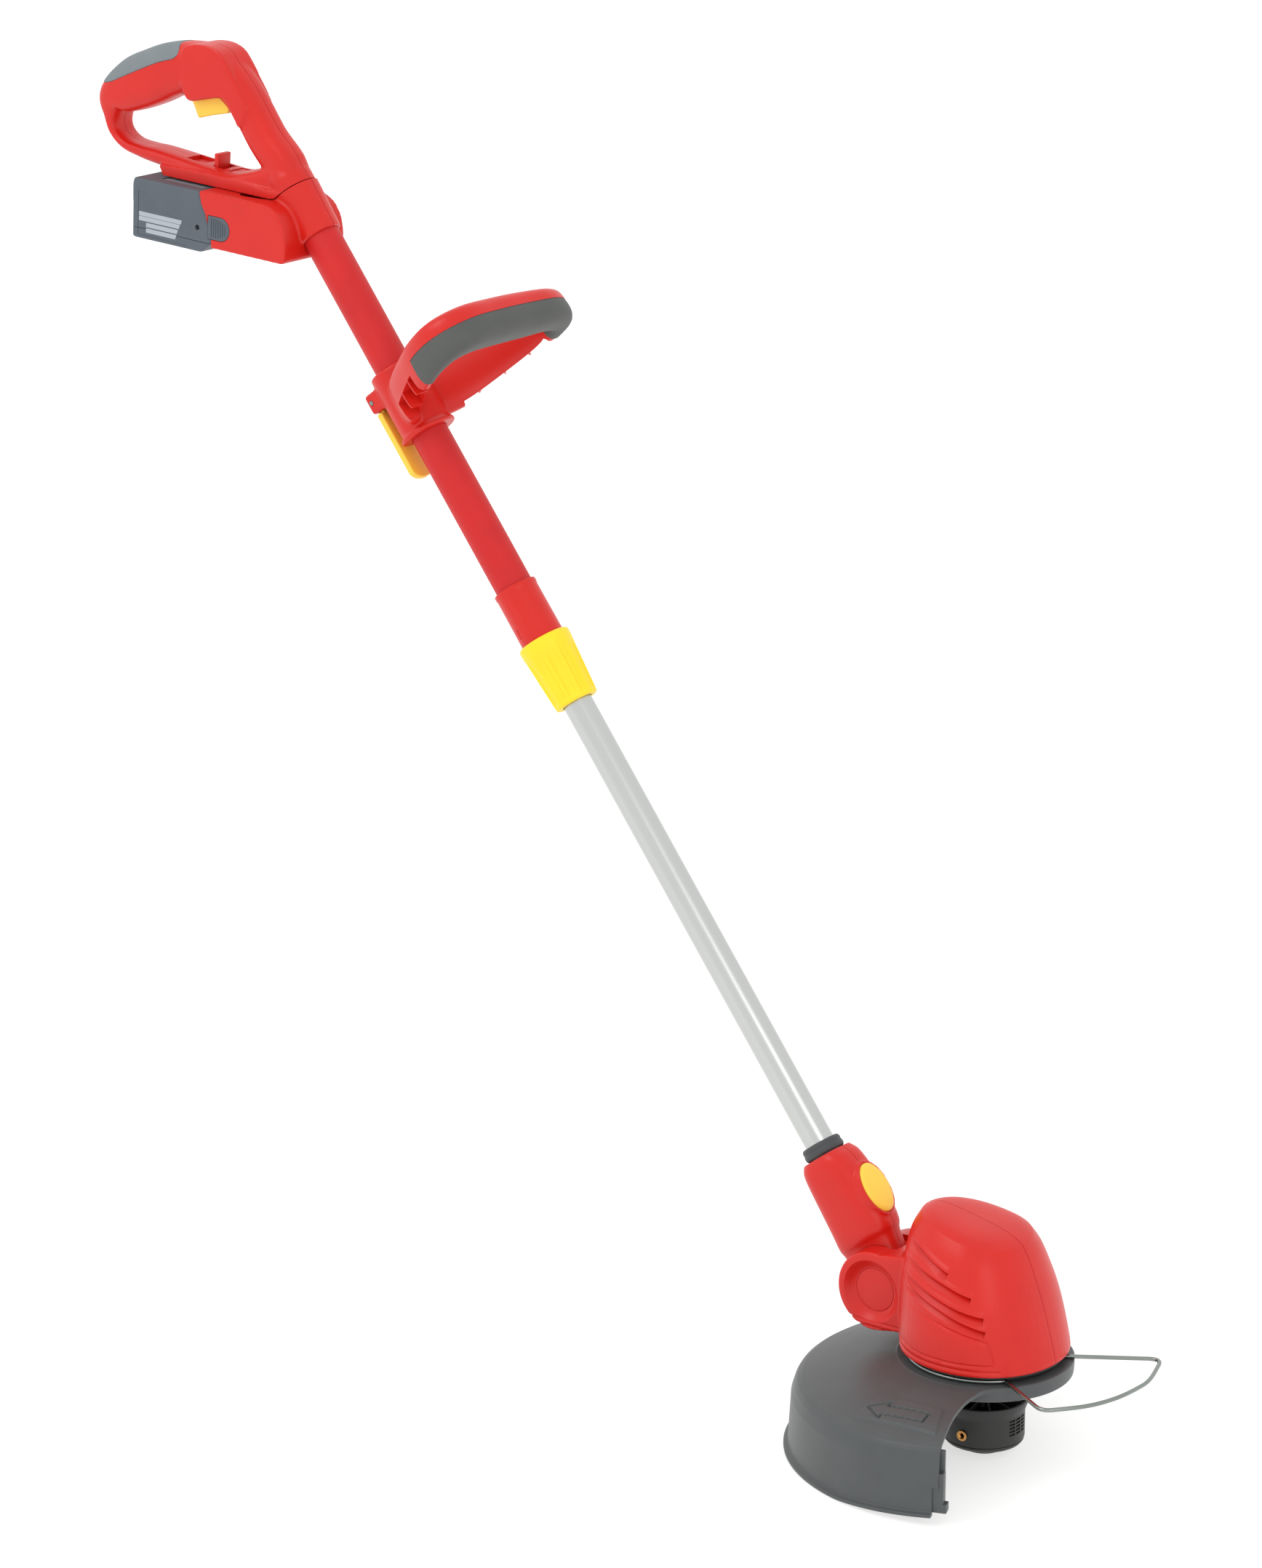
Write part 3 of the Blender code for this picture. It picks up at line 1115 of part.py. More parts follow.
def motor():
    """Motor can, head base and lower bearing."""
    top = MOTOR_BASE + MOTOR_LENGTH
    wall = MOTOR_WALL
    bore = SHAFT_R + RUNNING / 4
    can = turned("motor_can", [
        (MOTOR_R, top - 0.002), (MOTOR_R, MOTOR_BASE + 0.002), (MOTOR_R - 0.002, MOTOR_BASE),
        (MOTOR_BOSS_R, MOTOR_BASE), (MOTOR_BOSS_R, MOTOR_BASE - MOTOR_BOSS_HIGH),
        (bore, MOTOR_BASE - MOTOR_BOSS_HIGH), (bore, MOTOR_BASE + wall), (MOTOR_R - wall, MOTOR_BASE + wall),
        (MOTOR_R - wall, top - wall), (bore, top - wall), (bore, top + MOTOR_BOSS_HIGH),
        (MOTOR_BOSS_R, top + MOTOR_BOSS_HIGH), (MOTOR_BOSS_R, top), (MOTOR_R - 0.002, top)], FACETS)
    seat(HEAD, Matrix.Identity(4), STEEL, can)
    bearing_low = BASE_LOW + 0.004
    base = turned("head_base", [
        (BASE_R, HOUSING_BASE - GAP), (BASE_R, GROOVE_HIGH), (GROOVE_R, GROOVE_HIGH),
        (GROOVE_R, GROOVE_LOW + GAP), (HUB_R - 0.0100 - GAP, GROOVE_LOW + GAP),
        (HUB_R - 0.0100 - GAP, BASE_LOW), (0.0060, BASE_LOW), (0.0060, bearing_low),
        (BEARING_R + GAP, bearing_low), (BEARING_R + GAP, bearing_low + BEARING_LENGTH + GAP),
        (BEARING_BOSS_R, bearing_low + BEARING_LENGTH + GAP), (BEARING_BOSS_R, BASE_FLOOR),
        (BASE_INSIDE_R, BASE_FLOOR), (BASE_INSIDE_R, HOUSING_BASE - GAP)], HEAD_FACETS)
    for turn in range(3):
        leg = rod("leg_tool", LEG_R, BASE_FLOOR - 0.001, MOTOR_BASE + 0.020, SMALL_FACETS)
        leg.data.transform(leg_place(turn))
        base = fuse(base, leg)
    seat(HEAD, Matrix.Identity(4), BLACK, base)
    bearing = ring("lower_bearing", BEARING_R, bore, bearing_low + GAP, bearing_low + BEARING_LENGTH, FACETS)
    seat(HEAD, Matrix.Identity(4), STEEL, bearing)
    cradle = ring("motor_cradle", FAN_R + 0.0090, MOTOR_R + GAP, MOTOR_BASE + 0.004, MOTOR_BASE + 0.012, FACETS)
    for turn in range(3):
        hole = rod("hole_tool", LEG_R + GAP, MOTOR_BASE, MOTOR_BASE + 0.020, SMALL_FACETS)
        hole.data.transform(leg_place(turn))
        cradle = cut(cradle, hole)
    seat(HEAD, Matrix.Identity(4), BLACK, cradle)


def guard():
    """The cutting guard: a domed plate and skirt behind, and a round hub all the way about."""
    wall = GUARD_WALL
    skirt = GUARD_R - wall
    body = turned("guard", [
        (HUB_R - 0.010, HUB_HIGH), (HUB_R - 0.010, HUB_LOW), (HUB_R - 0.0015, HUB_LOW),
        (HUB_R, HUB_LOW + 0.0015),
        (HUB_R + 0.0005, HUB_HIGH - 0.0040), (HUB_R + 0.0275, 0.0607), (GUARD_R - 0.0215, 0.0540),
        (GUARD_R - 0.0115, 0.0508),
        (skirt - 0.0040, 0.0460), (skirt - 0.0015, 0.0390), (skirt, 0.0100), (skirt, 0.0),
        (GUARD_R + GUARD_LIP, 0.0), (GUARD_R + GUARD_LIP, 0.0022), (GUARD_R, 0.0032), (GUARD_R, 0.0100),
        (GUARD_R - 0.0017, 0.0400), (GUARD_R - 0.0040, 0.0475), (GUARD_R - 0.0095, 0.0530),
        (GUARD_R - 0.0205, 0.0565), (HUB_R + 0.0275, 0.0635), (HUB_R + 0.0010, HUB_HIGH - 0.0007),
        (HUB_R - 0.0010, HUB_HIGH)], HEAD_FACETS)
    for vert in body.data.vertices:
        reach = math.hypot(vert.co.x, vert.co.y)
        share = min(max((reach - HUB_R) / GUARD_RISE_RUN, 0.0), 1.0)
        fade = 1.0 - vert.co.z / GUARD_RISE_FADE
        vert.co.z += GUARD_RISE * share * max(vert.co.x - GUARD_RISE_START, 0.0) * fade
    outline = []
    rim = HUB_R + 0.0004
    steps = 18
    for step in range(steps + 1):
        angle = GUARD_NEAR - 0.10 + (GUARD_FAR - GUARD_NEAR + 0.20) * step / steps
        outline.append((rim * math.cos(angle), rim * math.sin(angle)))
    fillet = ((HUB_R + 0.0090, 0.060), (HUB_R + 0.0225, 0.017), (HUB_R + 0.0375, 0.0), (OPENING_R, 0.0))
    outline += [(reach * math.cos(GUARD_FAR + turn), reach * math.sin(GUARD_FAR + turn)) for reach, turn in fillet]
    outline += [(OPENING_R + 0.1, OPENING_R), (OPENING_R + 0.1, -OPENING_R)]
    outline += [(reach * math.cos(GUARD_NEAR - turn), reach * math.sin(GUARD_NEAR - turn))
                for reach, turn in reversed(fillet)]
    opening = sheet("opening_tool", outline, 0.1)
    body = cut(body, opening)
    holder = box("holder_tool", (0.0, 0.0, 0.009), (0.0085, 0.0060, 0.0470))
    holder.data.transform(edge_frame(GUARD_R - 0.0095, CUTTER_TURN))
    body = fuse(body, holder)
    body = cut(body, cutter_shape("cutter_tool", GAP))
    hole = rod("hole_tool", CUTTER_HOLE_R + GAP / 2, -0.010, 0.010, SMALL_FACETS)
    hole.data.transform(screw_place())
    body = cut(body, hole)
    seat(HEAD, Matrix.Identity(4), SLATE, body)


def edge_frame(radius, angle):
    """A frame at the guard's cut edge: X outward, Y along the rim away from the opening."""
    return Matrix.Rotation(angle, 4, "Z") @ Matrix.Translation((radius, -0.0060, 0.0))


def cutter_frame():
    return edge_frame(GUARD_R - 0.0125, CUTTER_TURN) @ Matrix.Translation((0.0, 0.0025, 0.0))


def cutter_shape(name, grow):
    """The steel blade that trims the line."""
    low = CUTTER_HEIGHT - CUTTER_LENGTH / 2
    blade = box(name, (-CUTTER_HALF - grow, -grow, low - grow),
                (CUTTER_HALF + grow, CUTTER_THICK + grow, low + CUTTER_LENGTH + grow))
    blade.data.transform(cutter_frame())
    return blade


def screw_place():
    """The frame of the screw hole through the blade."""
    level = Matrix.Rotation(-math.pi / 2, 4, "X")
    return cutter_frame() @ Matrix.Translation((0.0058, 0.0, CUTTER_HEIGHT)) @ level


def cutter():
    blade = cutter_shape("line_cutter", 0.0)
    hole = rod("hole_tool", CUTTER_HOLE_R + GAP / 2, -0.010, 0.010, SMALL_FACETS)
    hole.data.transform(screw_place())
    blade = cut(blade, hole)
    seat(HEAD, Matrix.Identity(4), STEEL, blade)


def rounded(path, radius, steps):
    """A path with its inner corners rounded."""
    made = [Vector(path[0])]
    for before, corner, after in zip(path, path[1:], path[2:]):
        back = (Vector(before) - Vector(corner))
        ahead = (Vector(after) - Vector(corner))
        reach = min(radius, back.length * 0.49, ahead.length * 0.49)
        start = Vector(corner) + back.normalized() * reach
        stop = Vector(corner) + ahead.normalized() * reach
        for step in range(steps + 1):
            t = step / steps
            made.append(start.lerp(Vector(corner), t).lerp(Vector(corner).lerp(stop, t), t))
    made.append(Vector(path[-1]))
    return made


WIRE_LOOP = (
    (0.0400, -0.0358), (0.0893, -0.0650), (0.1085, -0.0400), (0.1176, -0.0170), (0.1203, 0.0080),
    (0.1180, 0.0300), (0.1063, 0.0635), (0.0480, 0.0246),
)


def wire_guard():
    """The plant guard: a ring in the groove of the head with a loop out in front."""
    height = (GROOVE_LOW + GROOVE_HIGH) / 2

    def around(start, stop, steps):
        made = []
        for step in range(steps + 1):
            angle = start + (stop - start) * step / steps
            made.append((WIRE_RING_R * math.cos(angle), WIRE_RING_R * math.sin(angle), height))
        return made

    near = around(-WIRE_END, math.radians(-43.0), 9)
    far = around(math.radians(29.0), WIRE_END, 10)
    loop = [(x, y, height) for x, y in WIRE_LOOP]
    path = near[:-1] + rounded([near[-1]] + loop + [far[0]], 0.010, 3) + far[1:]
    bow = wire("wire_guard", path, WIRE_R, 1)
    seat(joint("wire_axis", (0.0, 0.0, height)), Matrix.Identity(4), STEEL, bow)


# Spool head

def spool_head():
    """What turns with the motor shaft."""
    shaft = rod("motor_shaft", SHAFT_R, SHAFT_FOOT, SHAFT_TOP, SMALL_FACETS)
    seat(SPIN, Matrix.Identity(4), STEEL, shaft)
    middle = MOTOR_BASE + MOTOR_LENGTH / 2
    armature = ring("armature", ARMATURE_R, SHAFT_R + RUNNING / 4, middle - ARMATURE_LENGTH / 2,
                    middle + ARMATURE_LENGTH / 2, FACETS)
    seat(SPIN, Matrix.Identity(4), BRASS, armature)
    fan = turned("cooling_fan", [
        (FAN_R, FAN_BASE + 0.0012), (FAN_R, FAN_BASE), (SHAFT_R + RUNNING / 4, FAN_BASE),
        (SHAFT_R + RUNNING / 4, FAN_BASE + FAN_HIGH), (0.006, FAN_BASE + FAN_HIGH),
        (0.006, FAN_BASE + 0.0012)], FACETS)
    for turn in range(8):
        blade = box("blade_tool", (0.0050, -0.0006, FAN_BASE + 0.0006), (FAN_R - 0.0010, 0.0006, FAN_BASE + FAN_HIGH))
        blade.data.transform(Matrix.Rotation(turn * math.tau / 8, 4, "Z"))
        fan = fuse(fan, blade)
    seat(SPIN, Matrix.Identity(4), BLACK, fan)

    wall = SPOOL_WALL
    top = SPOOL_TOP
    body = turned("spool_housing", [
        (SPOOL_LIP_R, top), (SPOOL_LIP_R, top - 0.0012), (SPOOL_R, top - 0.0042), (SPOOL_R, SPOOL_SEAM + GAP),
        (SPOOL_R - wall, SPOOL_SEAM + GAP), (SPOOL_R - wall, top - wall - 0.001), (0.0085, top - wall - 0.001),
        (0.0085, top - 0.0045), (SHAFT_R + RUNNING / 4, top - 0.0045), (SHAFT_R + RUNNING / 4, BASE_LOW - 0.0025),
        (0.0055, BASE_LOW - 0.0025), (0.0055, top + 0.010), (0.0080, top)], FACETS)
    for turn in range(8):
        fin = box("fin_tool", (0.0050, -0.0009, top - 0.0010), (SPOOL_R - 0.002, 0.0009, top + 0.0060))
        fin.data.transform(Matrix.Rotation(turn * math.tau / 8 + 0.2, 4, "Z"))
        body = fuse(body, fin)
    for turn in (0, 1):
        body = cut(body, eyelet_place("eyelet_tool", turn, EYELET_R + GAP, 0.0, 0.012))
    seat(SPIN, Matrix.Identity(4), BLACK, body)

    lip = SPOOL_R - wall - GAP
    cover = turned("spool_cover", [
        (SPOOL_R - 0.0004, SPOOL_SEAM), (SPOOL_R - 0.0004, SPOOL_SEAM - 0.0016), (SPOOL_R - 0.0060, 0.0034),
        (CAP_R + 0.0030, 0.0026), (CAP_R + GAP, 0.0026), (CAP_R + GAP, 0.0052), (SPOOL_R - 0.0060, 0.0062),
        (lip - wall * 0.7, SPOOL_SEAM), (lip - wall * 0.7, SPOOL_SEAM + 0.0030),
        (lip, SPOOL_SEAM + 0.0030), (lip, SPOOL_SEAM)], FACETS)
    seat(SPIN, Matrix.Identity(4), BLACK, cover)
    for turn, name in enumerate(("eyelet_right", "eyelet_left")):
        eyelet = eyelet_place(name, turn, EYELET_R, EYELET_BORE, 0.0044)
        seat(SPIN, Matrix.Identity(4), BRASS, eyelet)

    reel = turned("line_reel", [
        (REEL_R, REEL_HIGH), (REEL_R, REEL_HIGH - 0.0012), (REEL_HUB_R, REEL_HIGH - 0.0012),
        (REEL_HUB_R, REEL_LOW + 0.0012), (REEL_R - 0.0030, REEL_LOW + 0.0012), (REEL_R - 0.0030, REEL_LOW),
        (0.0060, REEL_LOW), (0.0060, REEL_LOW + 0.0012), (REEL_HUB_R - 0.0022, REEL_LOW + 0.0012),
        (REEL_HUB_R - 0.0022, REEL_HIGH)], FACETS)
    seat(BUMP, Matrix.Identity(4), BLACK, reel)
    line = ring("wound_line", REEL_R - 0.0045, REEL_HUB_R + GAP, REEL_LOW + 0.0012 + GAP,
                REEL_HIGH - 0.0012 - GAP, FACETS)
    seat(BUMP, Matrix.Identity(4), LINE_ORANGE, line)
    cap = turned("bump_cap", [
        (0.0, CAP_HEIGHT), (CAP_R + 0.0032, CAP_HEIGHT), (CAP_R + 0.0032, CAP_HEIGHT - 0.0014),
        (CAP_R, CAP_HEIGHT - 0.0014), (CAP_R, 0.0018), (CAP_R - 0.0018, 0.0), (0.0, 0.0)], FACETS)
    stem = rod("stem_tool", 0.0060 - GAP, CAP_HEIGHT - 0.001, REEL_LOW + 0.0030, SMALL_FACETS)
    cap = fuse(cap, stem)
    seat(BUMP, Matrix.Identity(4), BLACK, cap)
    spring = coil("reel_spring", 0.0070, 0.0005, REEL_LOW + 0.0012 + GAP, SPOOL_TOP - 0.0045 - GAP, 3)
    seat(SPIN, Matrix.Identity(4), STEEL, spring)


def eyelet_place(name, turn, radius, bore, length):
    """An eyelet in the spool wall, or the tool that bores its hole."""
    if bore > 0.0:
        piece = turned(name, [
            (radius + 0.0008, length), (radius + 0.0008, length - 0.0009), (radius, length - 0.0009),
            (radius, 0.0),
            (bore, 0.0), (bore, length)], SMALL_FACETS)
        start = SPOOL_R + 0.0012 - length
    else:
        piece = rod(name, radius, 0.0, length, SMALL_FACETS)
        start = SPOOL_R - length / 2
    angle = math.radians(-88.0) + turn * math.pi
    place = Matrix.Rotation(angle, 4, "Z") @ Matrix.Translation((start, 0.0, EYELET_HEIGHT))
    piece.data.transform(place @ Matrix.Rotation(math.pi / 2, 4, "Y"))
    return piece


def coil(name, radius, thick, low, high, turns):
    """A compression spring along Z."""
    path = []
    steps = turns * 8
    for step in range(steps + 1):
        angle = math.tau * step / 8
        height = low + thick + (high - low - 2 * thick) * step / steps
        path.append((radius * math.cos(angle), radius * math.sin(angle), height))
    return wire(name, path, thick, 1)


clear_scene()
PARTS = collection("string_trimmer")
ROOT = joint("rear_grip", (0.0, 0.0, HANDLE_FOOT), POLE)
SWIVEL = joint("swivel_axis", (0.0, 0.0, HANDLE_FOOT), POLE)
BATTERY = joint("battery_slide", (BOX_REAR, 0.0, BOX_LOW), BOX)
FRONT_HANDLE = joint("front_handle_slide", (0.0, 0.0, FRONT_START), POLE)
TELESCOPE = joint("telescope_slide", (0.0, 0.0, UPPER_START), POLE)
HEAD = joint("tilt_axis", PIVOT)
SPIN = joint("motor_axis", (0.0, 0.0, SPOOL_TOP))
BUMP = joint("bump_slide", (0.0, 0.0, 0.0))

rear_handle()
trigger()
swivel_lock()
battery_housing()
battery()
upper_pole()
twist_collar()
lower_pole()
front_handle()
neck()
motor_housing()
pivot_pieces()
motor()
guard()
cutter()
wire_guard()
spool_head()
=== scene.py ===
# Looks of the cordless string trimmer, in metres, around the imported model. +Z is up and +X is forward.
# Pieces on the pole are laid out in the pole frame: X across it to the front, Y sideways, Z up along it.
import math
import bmesh
import bpy
from mathutils import Matrix, Vector


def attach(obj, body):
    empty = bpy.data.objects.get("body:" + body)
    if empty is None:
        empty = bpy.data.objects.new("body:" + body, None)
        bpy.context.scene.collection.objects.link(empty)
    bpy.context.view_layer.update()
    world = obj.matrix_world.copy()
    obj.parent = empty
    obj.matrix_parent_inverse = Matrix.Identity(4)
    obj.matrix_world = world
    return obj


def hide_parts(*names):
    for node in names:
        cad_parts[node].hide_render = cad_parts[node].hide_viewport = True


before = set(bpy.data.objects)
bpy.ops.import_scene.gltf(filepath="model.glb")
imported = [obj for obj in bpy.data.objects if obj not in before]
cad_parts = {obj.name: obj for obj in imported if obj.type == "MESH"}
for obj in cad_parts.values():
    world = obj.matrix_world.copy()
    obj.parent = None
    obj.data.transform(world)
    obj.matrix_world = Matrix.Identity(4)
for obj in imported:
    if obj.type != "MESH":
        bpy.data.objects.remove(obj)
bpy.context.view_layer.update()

# Driving sizes, the same as the model's
LEAN = math.radians(37.0)
PIVOT = Vector((-0.078, 0.0, 0.108))
POLE = Matrix.Translation(PIVOT) @ Matrix.Rotation(-LEAN, 4, "Y")
BOX_HINGE = Vector((-0.602, 0.0, 0.8025))
BOX = (Matrix.Translation(BOX_HINGE) @ Matrix.Rotation(math.radians(3.5), 4, "Y")
       @ Matrix.Translation(-BOX_HINGE))
BOX_ON_POLE = POLE.inverted() @ BOX
WORLD = Matrix.Identity(4)
SIDE = Vector((0.0, 1.0, 0.0))
UP = Vector((0.0, 0.0, 1.0))
GAP = 0.0003
SEAM = 0.0002
FAR = 0.3
WIDE = 0.1
TURN = 96
TUBE_BORE = 0.0143
TO_SIDE = Matrix.Rotation(math.pi / 2, 4, "X")

# Photograph's view
PHOTO_HIGH = 2156
PHOTO_WIDE = 1735
PHOTO_FOCAL = 7240.0
PHOTO_ORIGIN = (1352.0, 1988.0)
VIEW_AZIMUTH = math.radians(37.3)
VIEW_ELEVATION = math.radians(16.8)
VIEW_DISTANCE = 3.7358
SENSOR = 36.0


# Meshes

def add_object(name, data):
    item = bpy.data.objects.new(name, data)
    bpy.context.scene.collection.objects.link(item)
    return item


def link(name, shape):
    """An object from a bmesh."""
    data = bpy.data.meshes.new(name)
    shape.to_mesh(data)
    shape.free()
    return add_object(name, data)


def twin(item, name):
    """A second object with its own copy of the mesh."""
    return add_object(name, item.data.copy())


def bake(item):
    """Replace an object's mesh by its evaluated one."""
    graph = bpy.context.evaluated_depsgraph_get()
    graph.update()
    data = bpy.data.meshes.new_from_object(item.evaluated_get(graph))
    item.modifiers.clear()
    item.data = data
    return item


def skin(name, rows, loop=False, caps=True):
    """Faces between rows of points; a loop joins the last row to the first."""
    shape = bmesh.new()
    made = [[shape.verts.new(point) for point in row] for row in rows]
    pairs = list(zip(made, made[1:]))
    if loop:
        pairs.append((made[-1], made[0]))
    for low, high in pairs:
        for index in range(len(low)):
            after = (index + 1) % len(low)
            shape.faces.new((low[index], low[after], high[after], high[index]))
    if caps and not loop:
        shape.faces.new(reversed(made[0]))
        shape.faces.new(made[-1])
    bmesh.ops.remove_doubles(shape, verts=shape.verts, dist=1e-7)
    bmesh.ops.recalc_face_normals(shape, faces=shape.faces)
    return link(name, shape)


def soften(points, radius, steps=4, closed=True):
    """An outline with its corners rounded."""
    made = []
    count = len(points)
    for index, corner in enumerate(points):
        corner = Vector(corner)
        if not closed and index in (0, count - 1):
            made.append(corner)
            continue
        back = Vector(points[index - 1]) - corner
        ahead = Vector(points[(index + 1) % count]) - corner
        reach = min(radius, back.length * 0.45, ahead.length * 0.45)
        start = corner + back.normalized() * reach
        stop = corner + ahead.normalized() * reach
        for step in range(steps + 1):
            t = step / steps
            made.append(start.lerp(corner, t).lerp(corner.lerp(stop, t), t))
    return made


def polar(radius, angle):
    return radius * math.cos(angle), radius * math.sin(angle)


def turned(name, profile, radius=0.0, segments=TURN):
    """Turn a profile of radius and height about Z; off the axis it closes on itself."""
    on_axis = profile[0][0] == 0.0
    points = soften(profile, radius, 4, not on_axis) if radius > 0.0 else [Vector(p) for p in profile]
    rows = []
    for point in points:
        row = []
        for step in range(segments):
            row.append(Vector((*polar(point[0], math.tau * step / segments), point[1])))
        rows.append(row)
    return skin(name, rows, not on_axis, False)


def cross(item, centre):
    """Turn a piece made along Z to lie along Y through a point of the XZ plane."""
    turn = Matrix.Rotation(-math.pi / 2, 4, "X")
    item.data.transform(Matrix.Translation((centre[0], 0.0, centre[1])) @ turn)
    return item


def rod(name, radius, low, high, edge=0.0, segments=48):
    return turned(name, [(0.0, high), (radius, high), (radius, low), (0.0, low)], edge, segments)


def bore(radius, low, high):
    return rod("bore_tool", radius, low, high, 0.0, TURN)


def block(name, low, high, edge=0.0, frame_of=None):
    """A block between two corners, with rounded edges."""
    shape = bmesh.new()
    bmesh.ops.create_cube(shape, size=1.0)
    low = Vector(low)
    high = Vector(high)
    bmesh.ops.scale(shape, vec=high - low, verts=shape.verts)
    bmesh.ops.translate(shape, vec=(low + high) / 2, verts=shape.verts)
    if edge > 0.0:
        bmesh.ops.bevel(shape, geom=shape.edges, offset=edge, segments=3, affect="EDGES", profile=0.5)
    item = link(name, shape)
    if frame_of is not None:
        item.data.transform(frame_of)
    return item


def plate(name, outline, half, edge=0.0):
    """A flat plate from an outline in XY, centred on Z, with rounded edges."""
    shape = bmesh.new()
    face = shape.faces.new([shape.verts.new((point[0], point[1], -half)) for point in outline])
    grown = bmesh.ops.extrude_face_region(shape, geom=[face])
    top = [item for item in grown["geom"] if isinstance(item, bmesh.types.BMVert)]
    bmesh.ops.translate(shape, vec=(0.0, 0.0, half * 2), verts=top)
    bmesh.ops.recalc_face_normals(shape, faces=shape.faces)
    if edge > 0.0:
        rims = [item for item in shape.edges
                if abs(item.verts[0].co.z - item.verts[1].co.z) < half * 0.1]
        bmesh.ops.bevel(shape, geom=rims, offset=edge, segments=3, affect="EDGES", profile=0.5)
    return link(name, shape)


def oval(half_u, half_v, count=32, power=2.4):
    points = []
    for step in range(count):
        angle = math.tau * (step + 0.5) / count
        across = math.copysign(abs(math.cos(angle)) ** (2 / power), math.cos(angle))
        along = math.copysign(abs(math.sin(angle)) ** (2 / power), math.sin(angle))
        points.append((half_u * across, half_v * along))
    return points


def smooth(stations, steps, closed=False):
    """Resample rows of numbers on a Catmull-Rom curve."""
    count = len(stations)
    made = []
    for span in range(count if closed else count - 1):
        rows = []
        for shift in (-1, 0, 1, 2):
            index = span + shift
            index = index % count if closed else min(max(index, 0), count - 1)
            rows.append(stations[index])
        for step in range(steps):
            t = step / steps
            made.append(tuple(
                0.5 * (2 * b + (c - a) * t + (2 * a - 5 * b + 4 * c - d) * t * t
                       + (3 * b - a - 3 * c + d) * t ** 3)
                for a, b, c, d in zip(*rows)))
    if not closed:
        made.append(tuple(stations[-1]))
    return made


def sweep(name, stations, across, closed=False, count=32, power=2.4, section=None):
    """Carry a section along rows of x, y, z, half in plane and half across."""
    rings = []
    total = len(stations)
    for index, (x, y, z, half_u, half_v) in enumerate(stations):
        before = stations[(index - 1) % total] if closed or index > 0 else stations[index]
        after = stations[(index + 1) % total] if closed or index < total - 1 else stations[index]
        run = Vector(after[:3]) - Vector(before[:3])
        normal = run.cross(across).normalized()
        centre = Vector((x, y, z))
        points = section(half_u, half_v) if section else oval(half_u, half_v, count, power)
        rings.append([centre + normal * u + across * v for u, v in points])
    return skin(name, rings, closed)


def tube(name, path, radius, sides=16):
    """A round wire along a list of points."""
    data = bpy.data.curves.new(name, "CURVE")
    data.dimensions = "3D"
    data.bevel_depth = radius
    data.bevel_resolution = sides // 4
    data.use_fill_caps = True
    spline = data.splines.new("POLY")
    spline.points.add(len(path) - 1)
    for point, place in zip(spline.points, path):
        point.co = (*place, 1.0)
    item = add_object(name, data)
    graph = bpy.context.evaluated_depsgraph_get()
    mesh = bpy.data.meshes.new_from_object(item.evaluated_get(graph))
    bpy.data.objects.remove(item, do_unlink=True)
    return weld(add_object(name, mesh))


def weld(item):
    shape = bmesh.new()
    shape.from_mesh(item.data)
    bmesh.ops.remove_doubles(shape, verts=shape.verts, dist=0.000002)
    bmesh.ops.recalc_face_normals(shape, faces=shape.faces)
    shape.to_mesh(item.data)
    shape.free()
    return item


def combine(item, tool, operation):
    change = item.modifiers.new("change", "BOOLEAN")
    change.operation = operation
    change.solver = "EXACT"
    change.object = tool
    bake(item)
    bpy.data.objects.remove(tool, do_unlink=True)
    return item


def cut(item, tool):
    return combine(item, tool, "DIFFERENCE")


def fuse(item, tool):
    return combine(item, tool, "UNION")


def gather(item, *tools):
    """Add other shapes to a mesh; melt makes one skin of them."""
    shape = bmesh.new()
    shape.from_mesh(item.data)
    for tool in tools:
        shape.from_mesh(tool.data)
        bpy.data.objects.remove(tool, do_unlink=True)
    shape.to_mesh(item.data)
    shape.free()
    return item


def melt(item, voxel, rounds):
    """Run touching shapes together with soft inner corners, as a moulding has."""
    remesh = item.modifiers.new("melt", "REMESH")
    remesh.mode = "VOXEL"
    remesh.voxel_size = voxel
    relax = item.modifiers.new("relax", "SMOOTH")
    relax.factor = 0.5
    relax.iterations = rounds
    return bake(item)


def halves(shell, left, right):
    """Split a shell at the seam in the plane of symmetry."""
    other = twin(shell, right)
    shell.name = left
    cut(shell, block("side_tool", (-1.5, -FAR, -0.5), (1.5, SEAM, 1.5)))
    cut(other, block("side_tool", (-1.5, -SEAM, -0.5), (1.5, FAR, 1.5)))
    return shell, other


def on_pole(item):
    """Bring a piece of the battery box from its own place to the pole frame."""
    item.data.transform(BOX_ON_POLE)
    return item


def to_curve(x, z, curve):
    """Distance from a point to a polyline in XZ, with its sign below the line and its share along."""
    best = (1e9, 0.0, 0.0)
    total = len(curve) - 1
    for index, (start, stop) in enumerate(zip(curve, curve[1:])):
        run = (stop[0] - start[0], stop[1] - start[1])
        length = run[0] ** 2 + run[1] ** 2
        t = ((x - start[0]) * run[0] + (z - start[1]) * run[1]) / length
        held = min(max(t, 0.0), 1.0)
        gap = math.hypot(x - start[0] - run[0] * held, z - start[1] - run[1] * held)
        if gap < best[0]:
            below = run[0] * (z - start[1]) - run[1] * (x - start[0])
            best = (gap, math.copysign(gap, -below), (index + held) / total)
    return best


def press(item, rule):
    """Move each vertex along its normal by what the rule says of its place."""
    moves = [vert.normal * rule(vert.co, vert.normal) for vert in item.data.vertices]
    for vert, move in zip(item.data.vertices, moves):
        vert.co += move
    return item


def ramp(value, low, high):
    t = min(max((value - low) / (high - low), 0.0), 1.0)
    return t * t * (3 - 2 * t)


# Materials

DRIFT_SCALE = 38.0
GLOSS_DRIFT = 0.06
RELIEF = 0.0004


